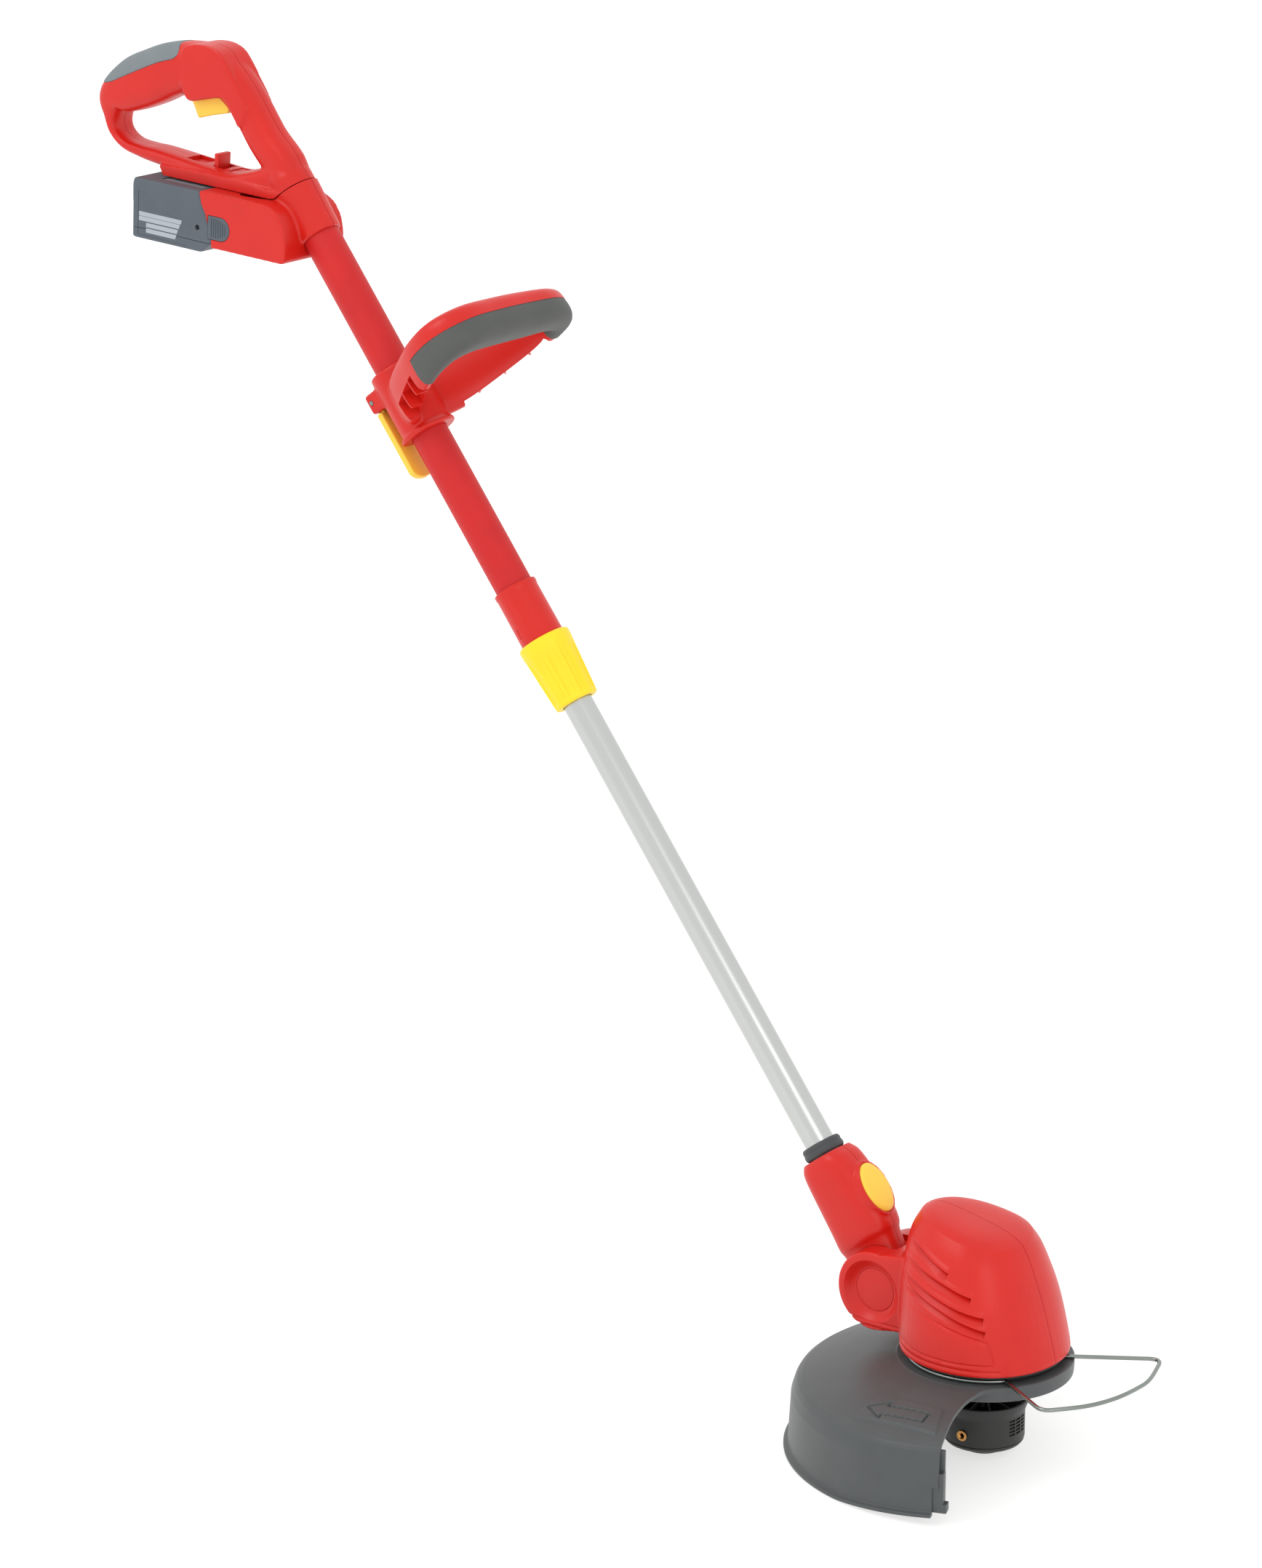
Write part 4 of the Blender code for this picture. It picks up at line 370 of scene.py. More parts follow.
def srgb(red, green, blue):
    """A colour as seen on a screen, turned to linear light."""
    made = []
    for value in (red, green, blue):
        value /= 255
        made.append(value / 12.92 if value <= 0.04045 else ((value + 0.055) / 1.055) ** 2.4)
    return tuple(made)


def set_inputs(node, **values):
    """Put values on a node's sockets; an underscore stands for a space."""
    for name, value in values.items():
        node.inputs[name.replace("_", " ")].default_value = value
    return node


def finish_of(name, colour, rough, grain=1800.0, bump=0.06, spread=0.05, metal=0.0,
              stretch=(1.0, 1.0, 1.0), dots=0.0, specular=0.5):
    """A Principled finish with faint colour drift, uneven gloss and a fine surface grain."""
    made = bpy.data.materials.new(name)
    made.use_nodes = True
    nodes = made.node_tree.nodes
    join = made.node_tree.links.new
    shader = set_inputs(nodes["Principled BSDF"], Metallic=metal, Specular_IOR_Level=specular)
    places = nodes.new("ShaderNodeTexCoord")
    scaled = set_inputs(nodes.new("ShaderNodeMapping"), Scale=stretch)
    join(places.outputs["Object"], scaled.inputs["Vector"])
    drift = set_inputs(nodes.new("ShaderNodeTexNoise"), Scale=DRIFT_SCALE, Detail=5.0)
    join(scaled.outputs["Vector"], drift.inputs["Vector"])
    tint = nodes.new("ShaderNodeValToRGB")
    dark, light = tint.color_ramp.elements
    dark.position = 0.3
    light.position = 0.7
    dark.color = (*[value * (1 - spread) for value in colour], 1.0)
    light.color = (*[min(value * (1 + spread), 1.0) for value in colour], 1.0)
    join(drift.outputs["Fac"], tint.inputs["Fac"])
    join(tint.outputs["Color"], shader.inputs["Base Color"])
    fine = set_inputs(nodes.new("ShaderNodeTexNoise"), Scale=grain, Detail=3.0)
    join(scaled.outputs["Vector"], fine.inputs["Vector"])
    gloss = nodes.new("ShaderNodeMapRange")
    set_inputs(gloss, To_Min=rough - GLOSS_DRIFT, To_Max=rough + GLOSS_DRIFT)
    join(fine.outputs["Fac"], gloss.inputs["Value"])
    join(gloss.outputs["Result"], shader.inputs["Roughness"])
    relief = set_inputs(nodes.new("ShaderNodeBump"), Strength=bump, Distance=RELIEF)
    join(fine.outputs["Fac"], relief.inputs["Height"])
    if dots > 0.0:
        cells = set_inputs(nodes.new("ShaderNodeTexVoronoi"), Scale=dots, Randomness=0.0)
        join(scaled.outputs["Vector"], cells.inputs["Vector"])
        bead = nodes.new("ShaderNodeMapRange")
        set_inputs(bead, From_Min=0.15, From_Max=0.40, To_Min=1.0, To_Max=0.0)
        join(cells.outputs["Distance"], bead.inputs["Value"])
        raised = set_inputs(nodes.new("ShaderNodeBump"), Strength=0.5, Distance=RELIEF)
        join(bead.outputs["Result"], raised.inputs["Height"])
        join(relief.outputs["Normal"], raised.inputs["Normal"])
        relief = raised
    join(relief.outputs["Normal"], shader.inputs["Normal"])
    return made


RED = finish_of("red_moulding", srgb(206, 27, 17), 0.36, 1500.0, 0.05, 0.03, specular=0.4)
TUBE_RED = finish_of("red_powder_coat", srgb(198, 27, 28), 0.52, 1300.0, 0.22, 0.05, specular=0.35)
YELLOW = finish_of("yellow_moulding", srgb(252, 216, 30), 0.40, 1500.0, 0.05, 0.03, specular=0.4)
AMBER = finish_of("amber_moulding", srgb(250, 203, 72), 0.40, 1500.0, 0.05, 0.03, specular=0.4)
SLATE = finish_of("slate_moulding", srgb(80, 88, 97), 0.50, 1600.0, 0.16, 0.06)
GUARD_GREY = finish_of("guard_moulding", srgb(72, 75, 76), 0.42, 1500.0, 0.14, 0.06)
LABEL_GREY = finish_of("label_grey", srgb(128, 134, 140), 0.50, 1500.0, 0.05, 0.03)
BAR_GREY = finish_of("pale_marking", srgb(165, 172, 180), 0.50, 1500.0, 0.05, 0.03)
SOFT_GREY = finish_of("grey_soft_grip", srgb(118, 126, 130), 0.62, 1500.0, 0.25, 0.05, dots=430.0)
SOFT_DARK = finish_of("dark_soft_grip", srgb(78, 80, 78), 0.60, 1300.0, 0.30, 0.06)
BLACK = finish_of("black_moulding", srgb(34, 35, 33), 0.46, 1500.0, 0.16, 0.08)
RIM_BLACK = finish_of("gaiter_rubber", srgb(62, 64, 66), 0.55, 1200.0, 0.25, 0.06)
ALUMINIUM = finish_of("drawn_aluminium", srgb(196, 198, 196), 0.27, 900.0, 0.05, 0.03, metal=1.0,
                      stretch=(1.0, 1.0, 0.02))
STEEL = finish_of("zinc_steel", srgb(140, 146, 142), 0.26, 900.0, 0.06, 0.06, metal=1.0)
BRASS = finish_of("turned_brass", srgb(205, 150, 90), 0.32, 900.0, 0.06, 0.06, metal=1.0)
COPPER = finish_of("copper_winding", srgb(190, 110, 70), 0.40, 900.0, 0.20, 0.10, metal=1.0)
GREEN = finish_of("green_board", srgb(38, 110, 70), 0.45, 1200.0, 0.10, 0.08)
ORANGE = finish_of("orange_line", srgb(226, 120, 30), 0.40, 1200.0, 0.10, 0.06)
WHITE = finish_of("white_strip", srgb(236, 236, 234), 0.50, 1200.0, 0.05, 0.02)


def dress(item, place, body, look, replaced=(), sharp=32.0):
    """Put a finished piece in its place on its body, with its finish."""
    item.matrix_world = place
    item.data.materials.clear()
    item.data.materials.append(look)
    item.data.shade_smooth()
    item.data.set_sharp_from_angle(angle=math.radians(sharp))
    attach(item, body)
    if replaced:
        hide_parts(*replaced)
    return item


def dress_halves(shell, stem, place, body, model):
    """Split a red shell at its seam and dress both halves."""
    for item, side in zip(halves(shell, stem + "_left", stem + "_right"), ("_left", "_right")):
        dress(item, place, body, RED, [model + side])


def repaint(look, *names):
    """Give model nodes that keep their shape a finish."""
    for name in names:
        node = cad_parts[name]
        node.data.materials.clear()
        node.data.materials.append(look)


# Rear handle

HANDLE_FOOT = 0.9055
HANDLE_FOOT_R = 0.0168
HANDLE_LOOP = (
    (0.0002, 0.918, 0.0140, 0.0142),
    (0.0003, 0.950, 0.0136, 0.0134),
    (0.0005, 0.985, 0.0138, 0.0134),
    (-0.0070, 1.012, 0.0165, 0.0142),
    (-0.0235, 1.0265, 0.0180, 0.0150),
    (-0.0445, 1.0366, 0.0200, 0.0158),
    (-0.0631, 1.0421, 0.0208, 0.0164),
    (-0.0831, 1.0476, 0.0200, 0.0164),
    (-0.1050, 1.0500, 0.0145, 0.0155),
    (-0.1155, 1.0410, 0.0068, 0.0130),
    (-0.1205, 1.0300, 0.0040, 0.0122),
    (-0.1170, 1.0165, 0.0040, 0.0125),
    (-0.1060, 1.0035, 0.0050, 0.0135),
    (-0.0935, 0.9912, 0.0060, 0.0145),
    (-0.0574, 0.9550, 0.0064, 0.0160),
    (-0.0347, 0.9350, 0.0068, 0.0170),
)
# Head block over the trigger and the thick part of the lower bar, as outlines of X and Z
HEAD_BLOCK = (
    (-0.7195, 0.9290), (-0.7202, 0.8962), (-0.7140, 0.8886), (-0.6790, 0.8955), (-0.6640, 0.8720),
    (-0.6555, 0.8900), (-0.6752, 0.9200), (-0.6822, 0.9282), (-0.6930, 0.9320), (-0.7060, 0.9322))
BAR_BLOCK = (
    (-0.7420, 0.8400), (-0.7350, 0.8240), (-0.6200, 0.8140), (-0.6200, 0.8300), (-0.6500, 0.8340),
    (-0.6600, 0.8350), (-0.7000, 0.8385))
# Soft grip's field, as an outline of X and Z in the pole frame
PAD_FIELD = (
    (-0.1095, 1.0900), (-0.1085, 1.0700), (-0.1020, 1.0615), (-0.0940, 1.0577), (-0.0636, 1.0497),
    (-0.0446, 1.0443), (-0.0300, 1.0383), (-0.0250, 1.0385), (-0.0218, 1.0420), (-0.0205, 1.0900))
TRIGGER_PIVOT = (-0.0130, 1.0080)
TRIGGER_HALF = 0.0075
PAD_PROUD = 0.0003
PAD_CORNER = 0.004
HEAD_HALF = 0.0152
BAR_HALF = 0.0178
BAR_LEVEL = 0.0046
BAR_OVER_BOX = 0.0007
RECESS_HALF = 0.0080
RECESS_DEEP = 0.0012
BOX_REAR = -0.688
BOX_FRONT = -0.602
BOX_LOW = 0.7818
BOX_HIGH = 0.8232
BOX_HALF = 0.0335


def in_plane(rows):
    return [(x, 0.0, z, half_u, half_v) for x, z, half_u, half_v in rows]


def upright(item):
    """Stand a plate made in XY up in XZ."""
    item.data.transform(TO_SIDE)
    return item


def side_plate(name, outline, half, corner):
    """An upright plate from an outline in the world, brought to the pole frame."""
    item = upright(plate(name, soften(outline, corner), half))
    item.data.transform(POLE.inverted())
    return item


def shoulder(name, drop, end):
    """The turned boundary that lets the handle swivel over the housing."""
    foot = HANDLE_FOOT - drop
    return turned(name, [(0.0, foot), (0.0190, foot), (0.0380, foot + 0.0180), (0.0380, end), (0.0, end)])


def level_box(name, rear, front, low, high, half, edge, front_edge=None, count=48, power=7.0):
    """A block with rounded edges along X."""
    front_edge = edge if front_edge is None else front_edge
    rings = []
    for end, size, way in ((rear, edge, 1.0), (front, front_edge, -1.0)):
        rows = []
        for step in range(5):
            angle = math.pi / 2 * step / 4
            rows.append((end + way * size * (1 - math.sin(angle)), size * (1 - math.cos(angle))))
        rings += reversed(rows) if way > 0 else rows
    rings.sort()
    made = []
    for x, trim in rings:
        made.append([Vector((x, v, (low + high) / 2 + u)) for u, v in oval(
            (high - low) / 2 - trim, half - trim, count, power)])
    return skin(name, made)


LOCK_PLACE = Vector((-0.0500, 0.0, 0.9500))


def lock_frame():
    """The lower bar's own frame: X along the bar toward the pole, Z into the loop."""
    along = Vector((0.027, 0.0, -0.024)).normalized()
    inward = Vector((0.024, 0.0, 0.027)).normalized()
    return Matrix.Translation(LOCK_PLACE) @ Matrix((along, SIDE, inward)).transposed().to_4x4()


def pad_step(spot, normal):
    """The soft grip stands a little proud, with its edge drawn in."""
    return -PAD_PROUD if to_outline(spot.x, spot.z, PAD_FIELD) > -0.0003 else PAD_PROUD


def rear_handle():
    body = sweep("rear_handle_shell", smooth(in_plane(HANDLE_LOOP), 6, True), SIDE, True, 40, 3.0)
    foot = turned("foot_tool", [
        (0.0, HANDLE_FOOT + 0.024), (HANDLE_FOOT_R - 0.004, HANDLE_FOOT + 0.024),
        (HANDLE_FOOT_R, HANDLE_FOOT + 0.009), (HANDLE_FOOT_R, HANDLE_FOOT - 0.004),
        (0.0, HANDLE_FOOT - 0.004)])
    gather(body, foot, side_plate("head_tool", HEAD_BLOCK, HEAD_HALF, 0.0050),
           side_plate("bar_tool", BAR_BLOCK, BAR_HALF, 0.0020))
    melt(body, 0.0011, 6)
    cut(body, shoulder("shoulder_tool", 0.0, HANDLE_FOOT - 0.060))
    over = level_box("over_tool", BOX_REAR - 0.100, BOX_FRONT, BOX_LOW, BOX_HIGH + BAR_OVER_BOX,
                     BOX_HALF, 0.001)
    cut(body, on_pole(over))
    grip = twin(body, "rear_grip_pad")
    pad_outline = soften(PAD_FIELD, PAD_CORNER)
    combine(grip, upright(plate("field_tool", pad_outline, WIDE)), "INTERSECT")
    press(grip, pad_step)
    cut(body, upright(plate("pocket_tool", pad_outline, WIDE)))
    slot_half = TRIGGER_HALF + GAP
    cut(body, block("slot_tool", (-0.0455, -slot_half, 0.974), (-0.0040, slot_half, 1.0225)))
    cut(body, block("lock_tool", (-0.0080, -0.0076, -0.004), (0.0030, 0.0076, 0.0150), 0.0, lock_frame()))
    recess_low = BAR_LEVEL - RECESS_DEEP
    for low, high in ((-0.0330, -0.0150), (0.0080, 0.0230)):
        cut(body, block("recess_tool", (low, -RECESS_HALF, recess_low), (high, RECESS_HALF, 0.0120),
                        0.0, lock_frame()))
    dress_halves(body, "handle_shell", POLE, "rear_handle", "rear_handle")
    dress(grip, POLE, "rear_handle", SOFT_GREY, ["rear_soft_grip"])
    repaint(BLACK, "swivel_spigot", "power_switch")
    repaint(STEEL, "trigger_pin")


def trigger():
    x, z = TRIGGER_PIVOT
    outline = soften([
        (x + 0.0040, z + 0.0040), (x - 0.0275, z + 0.0070), (x - 0.0276, z - 0.0036),
        (x - 0.0300, z - 0.0140), (x - 0.0180, z - 0.0190), (x - 0.0024, z - 0.0266),
        (x + 0.0005, z - 0.0240), (x + 0.0040, z - 0.0060)], 0.0016)
    lever = upright(plate("trigger_lever", outline, TRIGGER_HALF, 0.0012))
    dress(lever, POLE, "trigger", AMBER, ["trigger"])


def swivel_lock():
    tab = block("swivel_lock_tab", (-0.0070, -0.0070, -0.0010), (-0.0030, 0.0070, 0.0142), 0.0007)
    tab.data.transform(lock_frame())
    dress(tab, POLE, "swivel_lock", RED, ["swivel_lock"])


# Battery housing and battery

BOX_OUTLINE = (
    (BOX_REAR - 0.0030, BOX_LOW), (-0.6055, BOX_LOW), (-0.6050, 0.7960), (-0.6075, 0.8080), (-0.6140, 0.8180),
    (-0.6240, BOX_HIGH), (BOX_REAR - 0.0030, BOX_HIGH))
# Slanted joint between the battery and its housing, as places of X and Z from the top down
JOINT = ((-0.6895, 0.8232), (-0.6870, 0.8135), (-0.6826, 0.8062), (-0.6796, 0.7971), (-0.6767, 0.7881),
         (-0.6765, 0.7860))
BATTERY_REAR = -0.7553
BATTERY_LOW = 0.7768
LATCH_REAR = -0.6800
LATCH_ROUND = -0.6677
LATCH_LEVEL = 0.7973
LATCH_HALF = 0.0088
LATCH_PROUD = 0.0004
LATCH_THICK = 0.0026
NOTCH_DEEP = 0.0062
NOTCH_HALF = 0.0046
WALL = 0.0025
SKIN_STEP = 0.0009
# Bars on the battery's side: start and stop from its rear, and level above its floor
BARS = (
    (0.0068, 0.0482, 0.0173), (0.0068, 0.0464, 0.0137),
    (0.0140, 0.0445, 0.0095), (0.0140, 0.0430, 0.0053))
BAR_TALL = 0.0033
BAR_SLANT = 0.0012
BAR_THICK = 0.0003


def latch_outline(grow):
    half = LATCH_HALF + grow
    outline = [(LATCH_REAR - grow, LATCH_LEVEL - half)]
    for step in range(25):
        x, z = polar(half, math.pi * (step / 24 - 0.5))
        outline.append((LATCH_ROUND + x, LATCH_LEVEL + z))
    outline.append((LATCH_REAR - grow, LATCH_LEVEL + half))
    return outline


def on_side(item, sign, out):
    """Stand a plate made in XY up on the battery's side."""
    item.data.transform(Matrix.Translation((0.0, sign * out, 0.0)) @ TO_SIDE)
    return item


def battery_housing():
    body = on_pole(upright(plate("battery_housing_shell", soften(BOX_OUTLINE, 0.004), BOX_HALF)))
    collar = turned("collar_tool", [(0.0, 0.909), (0.0180, 0.909), (0.0164, 0.866), (0.0, 0.866)], 0.0010)
    gather(body, collar)
    melt(body, SKIN_STEP, 12)
    rear_tool = upright(plate("joint_tool", [(x + GAP, z) for x, z in JOINT] + [
        (JOINT[-1][0] + GAP, 0.70), (-0.80, 0.70), (-0.80, 0.90), (JOINT[0][0] + GAP, 0.90)], WIDE))
    cut(body, on_pole(rear_tool))
    cut(body, bore(TUBE_BORE, 0.75, 0.95))
    cut(body, shoulder("shoulder_tool", 0.0010, HANDLE_FOOT + 0.060))
    for sign in (-1, 1):
        notch = plate("notch_tool", latch_outline(GAP), NOTCH_HALF)
        cut(body, on_pole(on_side(notch, sign, BOX_HALF + NOTCH_HALF - NOTCH_DEEP)))
    mouth = level_box("mouth_tool", BOX_REAR - 0.010, BOX_REAR + 0.020, BOX_LOW + WALL, BOX_HIGH - WALL,
                      BOX_HALF - WALL, 0.001)
    cut(body, on_pole(mouth))
    dress_halves(body, "housing_shell", POLE, "upper_pole", "battery_housing")
    repaint(BLACK, "terminal_block", "collet")
    repaint(GREEN, "control_board")


def battery():
    rear = BATTERY_REAR
    low = BATTERY_LOW
    high = BOX_HIGH - 0.0008
    half = BOX_HALF - 0.0003
    outline = list(JOINT[1:]) + [
        (-0.6865, low), (rear + 0.0006, low), (rear, high - 0.004),
        (rear + 0.0015, high), (JOINT[0][0], high)]
    body = melt(upright(plate("battery_shell", soften(outline, 0.0025), half)), SKIN_STEP, 5)
    label = (rear + 0.0200, -0.0235, high - 0.0008), (-0.6945, 0.0235, high + 0.01)
    cut(body, block("label_tool", *label, 0.0003))
    inset = WALL + GAP
    nose = level_box("nose_tool", BOX_REAR - 0.010, BOX_REAR + 0.017, BOX_LOW + inset, BOX_HIGH - inset,
                     BOX_HALF - inset, 0.002)
    fuse(body, nose)
    for sign in (-1, 1):
        cut(body, on_side(plate("notch_tool", latch_outline(GAP), 0.0060), sign, BOX_HALF - 0.0026))
        hole = rod("hole_tool", 0.0021, -0.003, 0.003)
        hole.data.transform(Matrix.Translation((-0.6905, sign * half, 0.7951)) @ TO_SIDE)
        cut(body, hole)
        panel = [(rear + 0.0060, low + 0.0030), (rear + 0.0535, low + 0.0022), (rear + 0.0590, low + 0.0190),
                 (rear + 0.0165, low + 0.0270), (rear + 0.0165, low + 0.0355), (rear + 0.0060, low + 0.0360)]
        groove = plate("groove_tool", panel, 0.0003)
        cut(body, on_side(groove, sign, half))
    split = low + 0.008
    case = twin(body, "battery_upper_case")
    cut(case, block("low_tool", (-1.0, -FAR, 0.0), (0.0, FAR, split + SEAM)))
    body.name = "battery_lower_lid"
    cut(body, block("high_tool", (-1.0, -FAR, split - SEAM), (0.0, FAR, 1.0)))
    sheet = block("battery_label", (rear + 0.0206, -0.0229, high - 0.0010), (-0.6951, 0.0229, high - 0.0005))
    dress(sheet, BOX, "battery", LABEL_GREY)
    dress(case, BOX, "battery", SLATE, ["battery_case"])
    dress(body, BOX, "battery", SLATE, ["battery_lid"])
    repaint(GREEN, "cell_pack")
    for sign, side in ((-1, "right"), (1, "left")):
        for index, (start, stop, level) in enumerate(BARS):
            foot = low + level
            top = foot + BAR_TALL
            left = rear + start
            right = rear + stop
            bar = plate("charge_bar", [
                (left, foot), (right, foot), (right + BAR_SLANT, top), (left, top)], BAR_THICK / 2)
            on_side(bar, sign, half - 0.0004)
            bar.name = "charge_bar_%s_%d" % (side, index + 1)
            dress(bar, BOX, "battery", BAR_GREY)
        button = plate("release_button", latch_outline(0.0), LATCH_THICK / 2, 0.0008)
        on_side(button, sign, BOX_HALF + LATCH_PROUD - LATCH_THICK / 2)
        for rib in range(7):
            x = -0.6765 + rib * 0.0022
            reach = 0.0070 - max(rib - 3, 0) * 0.0010
            fuse(button, block("ridge_tool", (x - 0.0005, sign * BOX_HALF - 0.0009, LATCH_LEVEL - reach),
                               (x + 0.0005, sign * BOX_HALF + 0.0009, LATCH_LEVEL + reach), 0.0003))
        button.name = "release_button_" + side
        dress(button, BOX, "battery_button_" + side, SLATE, ["battery_button_" + side])


# Pole

UPPER_R = 0.0140
UPPER_START = 0.530
UPPER_END = 0.903
LOWER_R = 0.0110
LOWER_START = 0.036
LOWER_END = 0.700
TUBE_WALL = 0.0012
SLEEVE_LOW = 0.5258
COLLAR_LOW = 0.4735
COLLAR_LONG = 0.052
FLUTES = 11
FLUTE_STEPS = 16
FLUTE_DEEP = 0.0013


def pipe(name, radius, low, high, edge):
    """A tube of the pole."""
    inner = radius - TUBE_WALL
    return turned(name, [(radius, high), (radius, low), (inner, low), (inner, high)], edge)


def upper_pole():
    skin_tube = pipe("upper_tube_coat", UPPER_R, UPPER_START, UPPER_END, 0.0003)
    dress(skin_tube, POLE, "upper_pole", TUBE_RED, ["upper_tube"])
    strip = block("tube_strip", (-0.0146, -0.0035, 0.836), (-0.0138, 0.0035, 0.8655), 0.0002)
    dress(strip, POLE, "upper_pole", WHITE)
    low = SLEEVE_LOW
    sleeve = turned("tube_sleeve_shell", [
        (0.0165, low + 0.043), (0.0165, low + 0.040), (0.0161, low + 0.0385), (0.0163, low + 0.002),
        (0.0165, low), (0.0126, low), (0.0126, 0.5297), (0.0143, 0.5297), (0.0143, low + 0.043)], 0.0006)
    cut(sleeve, block("slot_tool", (-0.0060, -0.0175, low + 0.0060), (-0.0032, -0.0150, low + 0.0130)))
    window = turned("window_tool", [(0.0, 0.0012), (0.0088, 0.0), (0.0, -0.0012)], 0.0, 40)
    window.data.transform(Matrix.Translation((0.0030, -0.0166, low + 0.0220)) @ TO_SIDE
                          @ Matrix.Diagonal((0.70, 1.9, 1.0, 1.0)))
    cut(sleeve, window)
    dress(sleeve, POLE, "upper_pole", RED, ["tube_sleeve"])


def twist_collar():
    """The fluted nut, with the flutes fading out below its smooth top band."""
    base = COLLAR_LOW
    top = base + COLLAR_LONG
    outline = ((0.0, 0.0153), (0.0012, 0.0165), (0.0080, 0.0171), (0.0390, 0.0192), (0.0460, 0.0198),
               (0.0505, 0.0198), (0.0520, 0.0186))
    rings = []
    for rise, radius in smooth(outline, 6):
        fluted = ramp(rise, 0.0015, 0.0060) * (1.0 - ramp(rise, 0.0360, 0.0440))
        row = []
        for step in range(FLUTES * FLUTE_STEPS):
            turn = step / FLUTE_STEPS % 1.0
            dip = (1.0 - ramp(abs(turn - 0.5), 0.24, 0.38)) * FLUTE_DEEP * fluted
            angle = math.tau * step / (FLUTES * FLUTE_STEPS)
            row.append(Vector((*polar(radius - dip, angle), base + rise)))
        rings.append(row)
    collar = skin("twist_collar_grip", rings)
    cut(collar, turned("bore_tool", [
        (0.0, top + 0.002), (0.0147, top + 0.002), (0.0147, top - 0.004), (0.0132, base + 0.003),
        (0.0118, base + 0.003), (0.0118, base - 0.002), (0.0, base - 0.002)]))
    dress(collar, POLE, "twist_collar", YELLOW, ["twist_collar"])


def lower_pole():
    bare = pipe("lower_tube_bare", LOWER_R, LOWER_START, LOWER_END, 0.0002)
    dress(bare, POLE, "lower_pole", ALUMINIUM, ["lower_tube"])
    repaint(BLACK, "tube_bush", "power_lead")


# Front handle

FRONT_START = 0.699
LEVER_PIN = (-0.0240, 0.740)
BOW = (
    (0.0050, -0.0145, 0.7240, 0.0070, 0.0180),
    (0.0170, -0.0245, 0.7250, 0.0062, 0.0180),
    (0.0400, -0.0360, 0.7290, 0.0062, 0.0170),
    (0.0640, -0.0450, 0.7330, 0.0070, 0.0160),
    (0.0860, -0.0440, 0.7355, 0.0105, 0.0158),
    (0.0980, -0.0290, 0.7362, 0.0150, 0.0156),
    (0.0990, 0.0000, 0.7365, 0.0158, 0.0152),
    (0.0990, 0.0330, 0.7360, 0.0158, 0.0146),
    (0.1000, 0.0620, 0.7345, 0.0142, 0.0136),
    (0.0915, 0.0800, 0.7335, 0.0100, 0.0138),
    (0.0660, 0.0795, 0.7330, 0.0070, 0.0160),
    (0.0400, 0.0610, 0.7290, 0.0062, 0.0170),
    (0.0170, 0.0370, 0.7250, 0.0062, 0.0180),
    (0.0050, 0.0155, 0.7240, 0.0070, 0.0180),
)
GRIP_START = 0.057
GRIP_STOP = 0.079
GRIP_SHARE = 0.78
RIB_EVERY = 4
RIB_HALF = 0.0007


def pocket_section(half_u, half_v):
    """What is left out of an arm under its skin, between the inner wall and the open outer side."""
    inner = -half_u + 0.0018
    outer = half_u + 0.0030
    low = -half_v - 0.0020
    high = -0.10 * half_v
    return [(inner, low), (outer, low), (outer, high), (inner, high)]


def trim_section(half_u, half_v):
    """What takes the ribs in an arm back to the edge of its inner wall."""
    return [(-half_u, -1.3 * half_v), (half_u + 0.0030, -1.3 * half_v), (half_u + 0.0030, -0.80 * half_v),
            (-half_u, -0.84 * half_v)]


